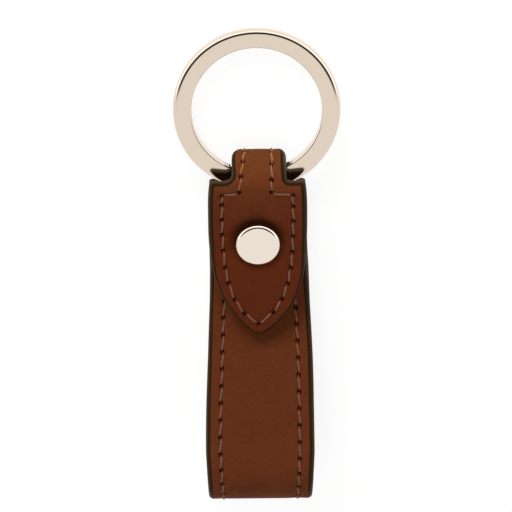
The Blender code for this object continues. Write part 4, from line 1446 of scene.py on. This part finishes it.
def turned_piece(node, profile):
    """The profile, as (radius, height) in metres, turned about the snap's axis."""
    radii, heights = profile.T
    angles = np.linspace(0, 2 * math.pi, TURNED_STEPS + 1)[:-1]
    across = [np.outer(np.cos(angles), radii), np.outer(np.sin(angles), radii)]
    rings = np.stack([*across, np.tile(heights, (TURNED_STEPS, 1))], axis=2)
    count = len(profile)
    faces = []
    for start in range(0, TURNED_STEPS * count, count):
        following = (start + count) % (TURNED_STEPS * count)
        for k in range(count):
            ahead = (k + 1) % count
            if radii[k] or radii[ahead]:
                faces.append((start + k, start + ahead, following + ahead, following + k))
    metal_piece(node, rings.reshape(-1, 3), faces, SNAP_PLACE)


flap_top, front_top = strap_points([S_SNAP, S_END], [0, 0], [0, 0])[:, 2]
print("snap levels in mm:", round(flap_top / MM, 3), round(front_top / MM, 3))

# %% Cap and post
METAL_CLEARANCE = 0.05 * MM
SHEET = 0.45 * MM
CAP_SEAT_DEPTH = 0.15 * MM
CAP_HEIGHT = 1.25 * MM
CAP_OVERSIZE = 0.1 * MM
CAP_WALL = 0.3 * MM
POST_RADIUS = 1.2 * MM
POST_HEAD_RADIUS = 1.7 * MM
POST_HEAD_DEPTH = 0.2 * MM
SOCKET_ROOF = 0.4 * MM
# Distance from the cap's middle in millimetres, and the crown's slope there in degrees
CROWN_SLOPES = (
    (0, 0),
    (3.7, 3),
    (4.05, 10),
    (4.15, 20),
    (4.42, 38),
    (4.55, 52),
    (4.71, 68),
    (4.79, 82),
)
cap_base = flap_top - CAP_SEAT_DEPTH + METAL_CLEARANCE
cap_top = cap_base + CAP_HEIGHT
cap_radius = CAP_DIAMETER / 2 + CAP_OVERSIZE
socket_top = flap_top - STRAP_THICKNESS - METAL_CLEARANCE
socket_roof = socket_top - SOCKET_ROOF
post_shoulder = socket_roof - METAL_CLEARANCE
post_end = post_shoulder - POST_HEAD_DEPTH
crown_at, crown_slope = np.array(CROWN_SLOPES).T * ((MM,), (1,))
across = [np.linspace(0, crown_at[1], 10), np.linspace(crown_at[1], crown_at[-1], 28)[1:]]
across = np.concatenate(across)
falls = np.tan(np.radians(np.interp(across, crown_at, crown_slope)))
fallen = np.concatenate([[0], np.cumsum((falls[1:] + falls[:-1]) / 2 * np.diff(across))])
print("crown falls in mm:", round(fallen[-1] / MM, 2))
cap_profile = list(zip(across, cap_top - fallen)) + [
    (cap_radius, cap_base - SHEET),
    (cap_radius - CAP_WALL, cap_base - SHEET),
    (cap_radius - CAP_WALL, cap_base),
    (POST_RADIUS, cap_base),
    (POST_RADIUS, post_shoulder),
    (POST_HEAD_RADIUS, post_shoulder),
    (POST_HEAD_RADIUS, post_end),
    (0, post_end),
]
turned_piece("snap_cap", np.array(cap_profile))

# %% Socket and spring
SOCKET_HEIGHT = 2.3 * MM
SOCKET_BORE = 2.35 * MM
SOCKET_BARREL = 3.4 * MM
SOCKET_LIP = 0.3 * MM
SOCKET_EASE = 0.16 * MM
FLANGE_RADIUS = 4.3 * MM
SPRING_WIRE = 0.4 * MM
SPRING_PROUD = 0.12 * MM
SPRING_SIDES = 12
SPRING_RINGS = 73
SPRING_TURN = math.radians(300)
mouth = socket_top - SOCKET_HEIGHT
ledge = mouth + SHEET
hub = POST_RADIUS + METAL_CLEARANCE
socket_profile = [
    (hub, socket_top),
    (FLANGE_RADIUS, socket_top),
    (FLANGE_RADIUS, socket_top - SHEET),
    (SOCKET_BARREL, socket_top - SHEET),
    (SOCKET_BARREL, mouth + SOCKET_LIP),
    (SOCKET_BARREL - SOCKET_LIP, mouth),
    (SOCKET_BORE, mouth),
    (SOCKET_BORE, ledge),
    (SOCKET_BARREL - SHEET, ledge),
    (SOCKET_BARREL - SHEET, socket_roof),
    (hub, socket_roof),
]
turned_piece("snap_socket", rounded(socket_profile, SOCKET_EASE))
spring_reach = SOCKET_BORE - SPRING_PROUD + SPRING_WIRE / 2
spring_height = ledge + METAL_CLEARANCE + SPRING_WIRE / 2
points = []
for angle in np.linspace(0, SPRING_TURN, SPRING_RINGS):
    for turn in np.linspace(0, 2 * math.pi, SPRING_SIDES + 1)[:-1]:
        reach = spring_reach + SPRING_WIRE / 2 * math.cos(turn)
        height = spring_height + SPRING_WIRE / 2 * math.sin(turn)
        points.append((reach * math.cos(angle), reach * math.sin(angle), height))
metal_piece("socket_spring", points, tube_faces(SPRING_RINGS, SPRING_SIDES), SNAP_PLACE)

# %% Stud and eyelet
STUD_TO_POST = 0.25 * MM
STUD_NECK = 1.65 * MM
STUD_HEAD = 1.9 * MM
STUD_HEAD_ROUNDING = 0.5 * MM
STUD_WALL = 0.2 * MM
STUD_EASE = 0.14 * MM
BORE_SHARE = 0.6
EYELET_FLANGE_RADIUS = 3.6 * MM
EYELET_WALL = 0.4 * MM
stud_base = front_top + METAL_CLEARANCE
stud_top = post_end - STUD_TO_POST
flange = stud_base + SHEET
stud_bore = STUD_NECK - STUD_WALL
bore_top = stud_base + (stud_top - stud_base) * BORE_SHARE
stud_profile = [(0, stud_top)]
for angle in np.linspace(0, math.pi / 2, 8):
    reach = STUD_HEAD - STUD_HEAD_ROUNDING * (1 - math.sin(angle))
    stud_profile.append((reach, stud_top - STUD_HEAD_ROUNDING * (1 - math.cos(angle))))
stud_profile += [
    (STUD_NECK, flange + (stud_top - STUD_HEAD_ROUNDING - flange) / 2),
    (STUD_NECK, flange),
    (FLANGE_RADIUS, flange),
    (FLANGE_RADIUS, stud_base),
    (stud_bore, stud_base),
    (stud_bore, bore_top),
    (0, bore_top),
]
turned_piece("snap_stud", rounded(stud_profile, STUD_EASE))
eyelet_top = front_top - STRAP_THICKNESS - METAL_CLEARANCE
eyelet_barrel = stud_bore - METAL_CLEARANCE
eyelet_profile = [
    (eyelet_barrel - EYELET_WALL, bore_top - METAL_CLEARANCE),
    (eyelet_barrel, bore_top - METAL_CLEARANCE),
    (eyelet_barrel, eyelet_top),
    (EYELET_FLANGE_RADIUS, eyelet_top),
    (EYELET_FLANGE_RADIUS, eyelet_top - SHEET),
    (eyelet_barrel - EYELET_WALL, eyelet_top - SHEET),
]
turned_piece("snap_eyelet", rounded(eyelet_profile, SOCKET_EASE))

# %% [markdown]
# ## Last look
# The box of the finished pieces is kept beside the frame's, to see that nothing grew.

# %% Measure and finish
boxes = {"cad": cad_box, "visual": [list(corner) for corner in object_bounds()]}
sizes = {
    name: [round((high - low) / MM, 2) for low, high in zip(*box)] for name, box in boxes.items()
}
print("sizes in mm:", sizes)
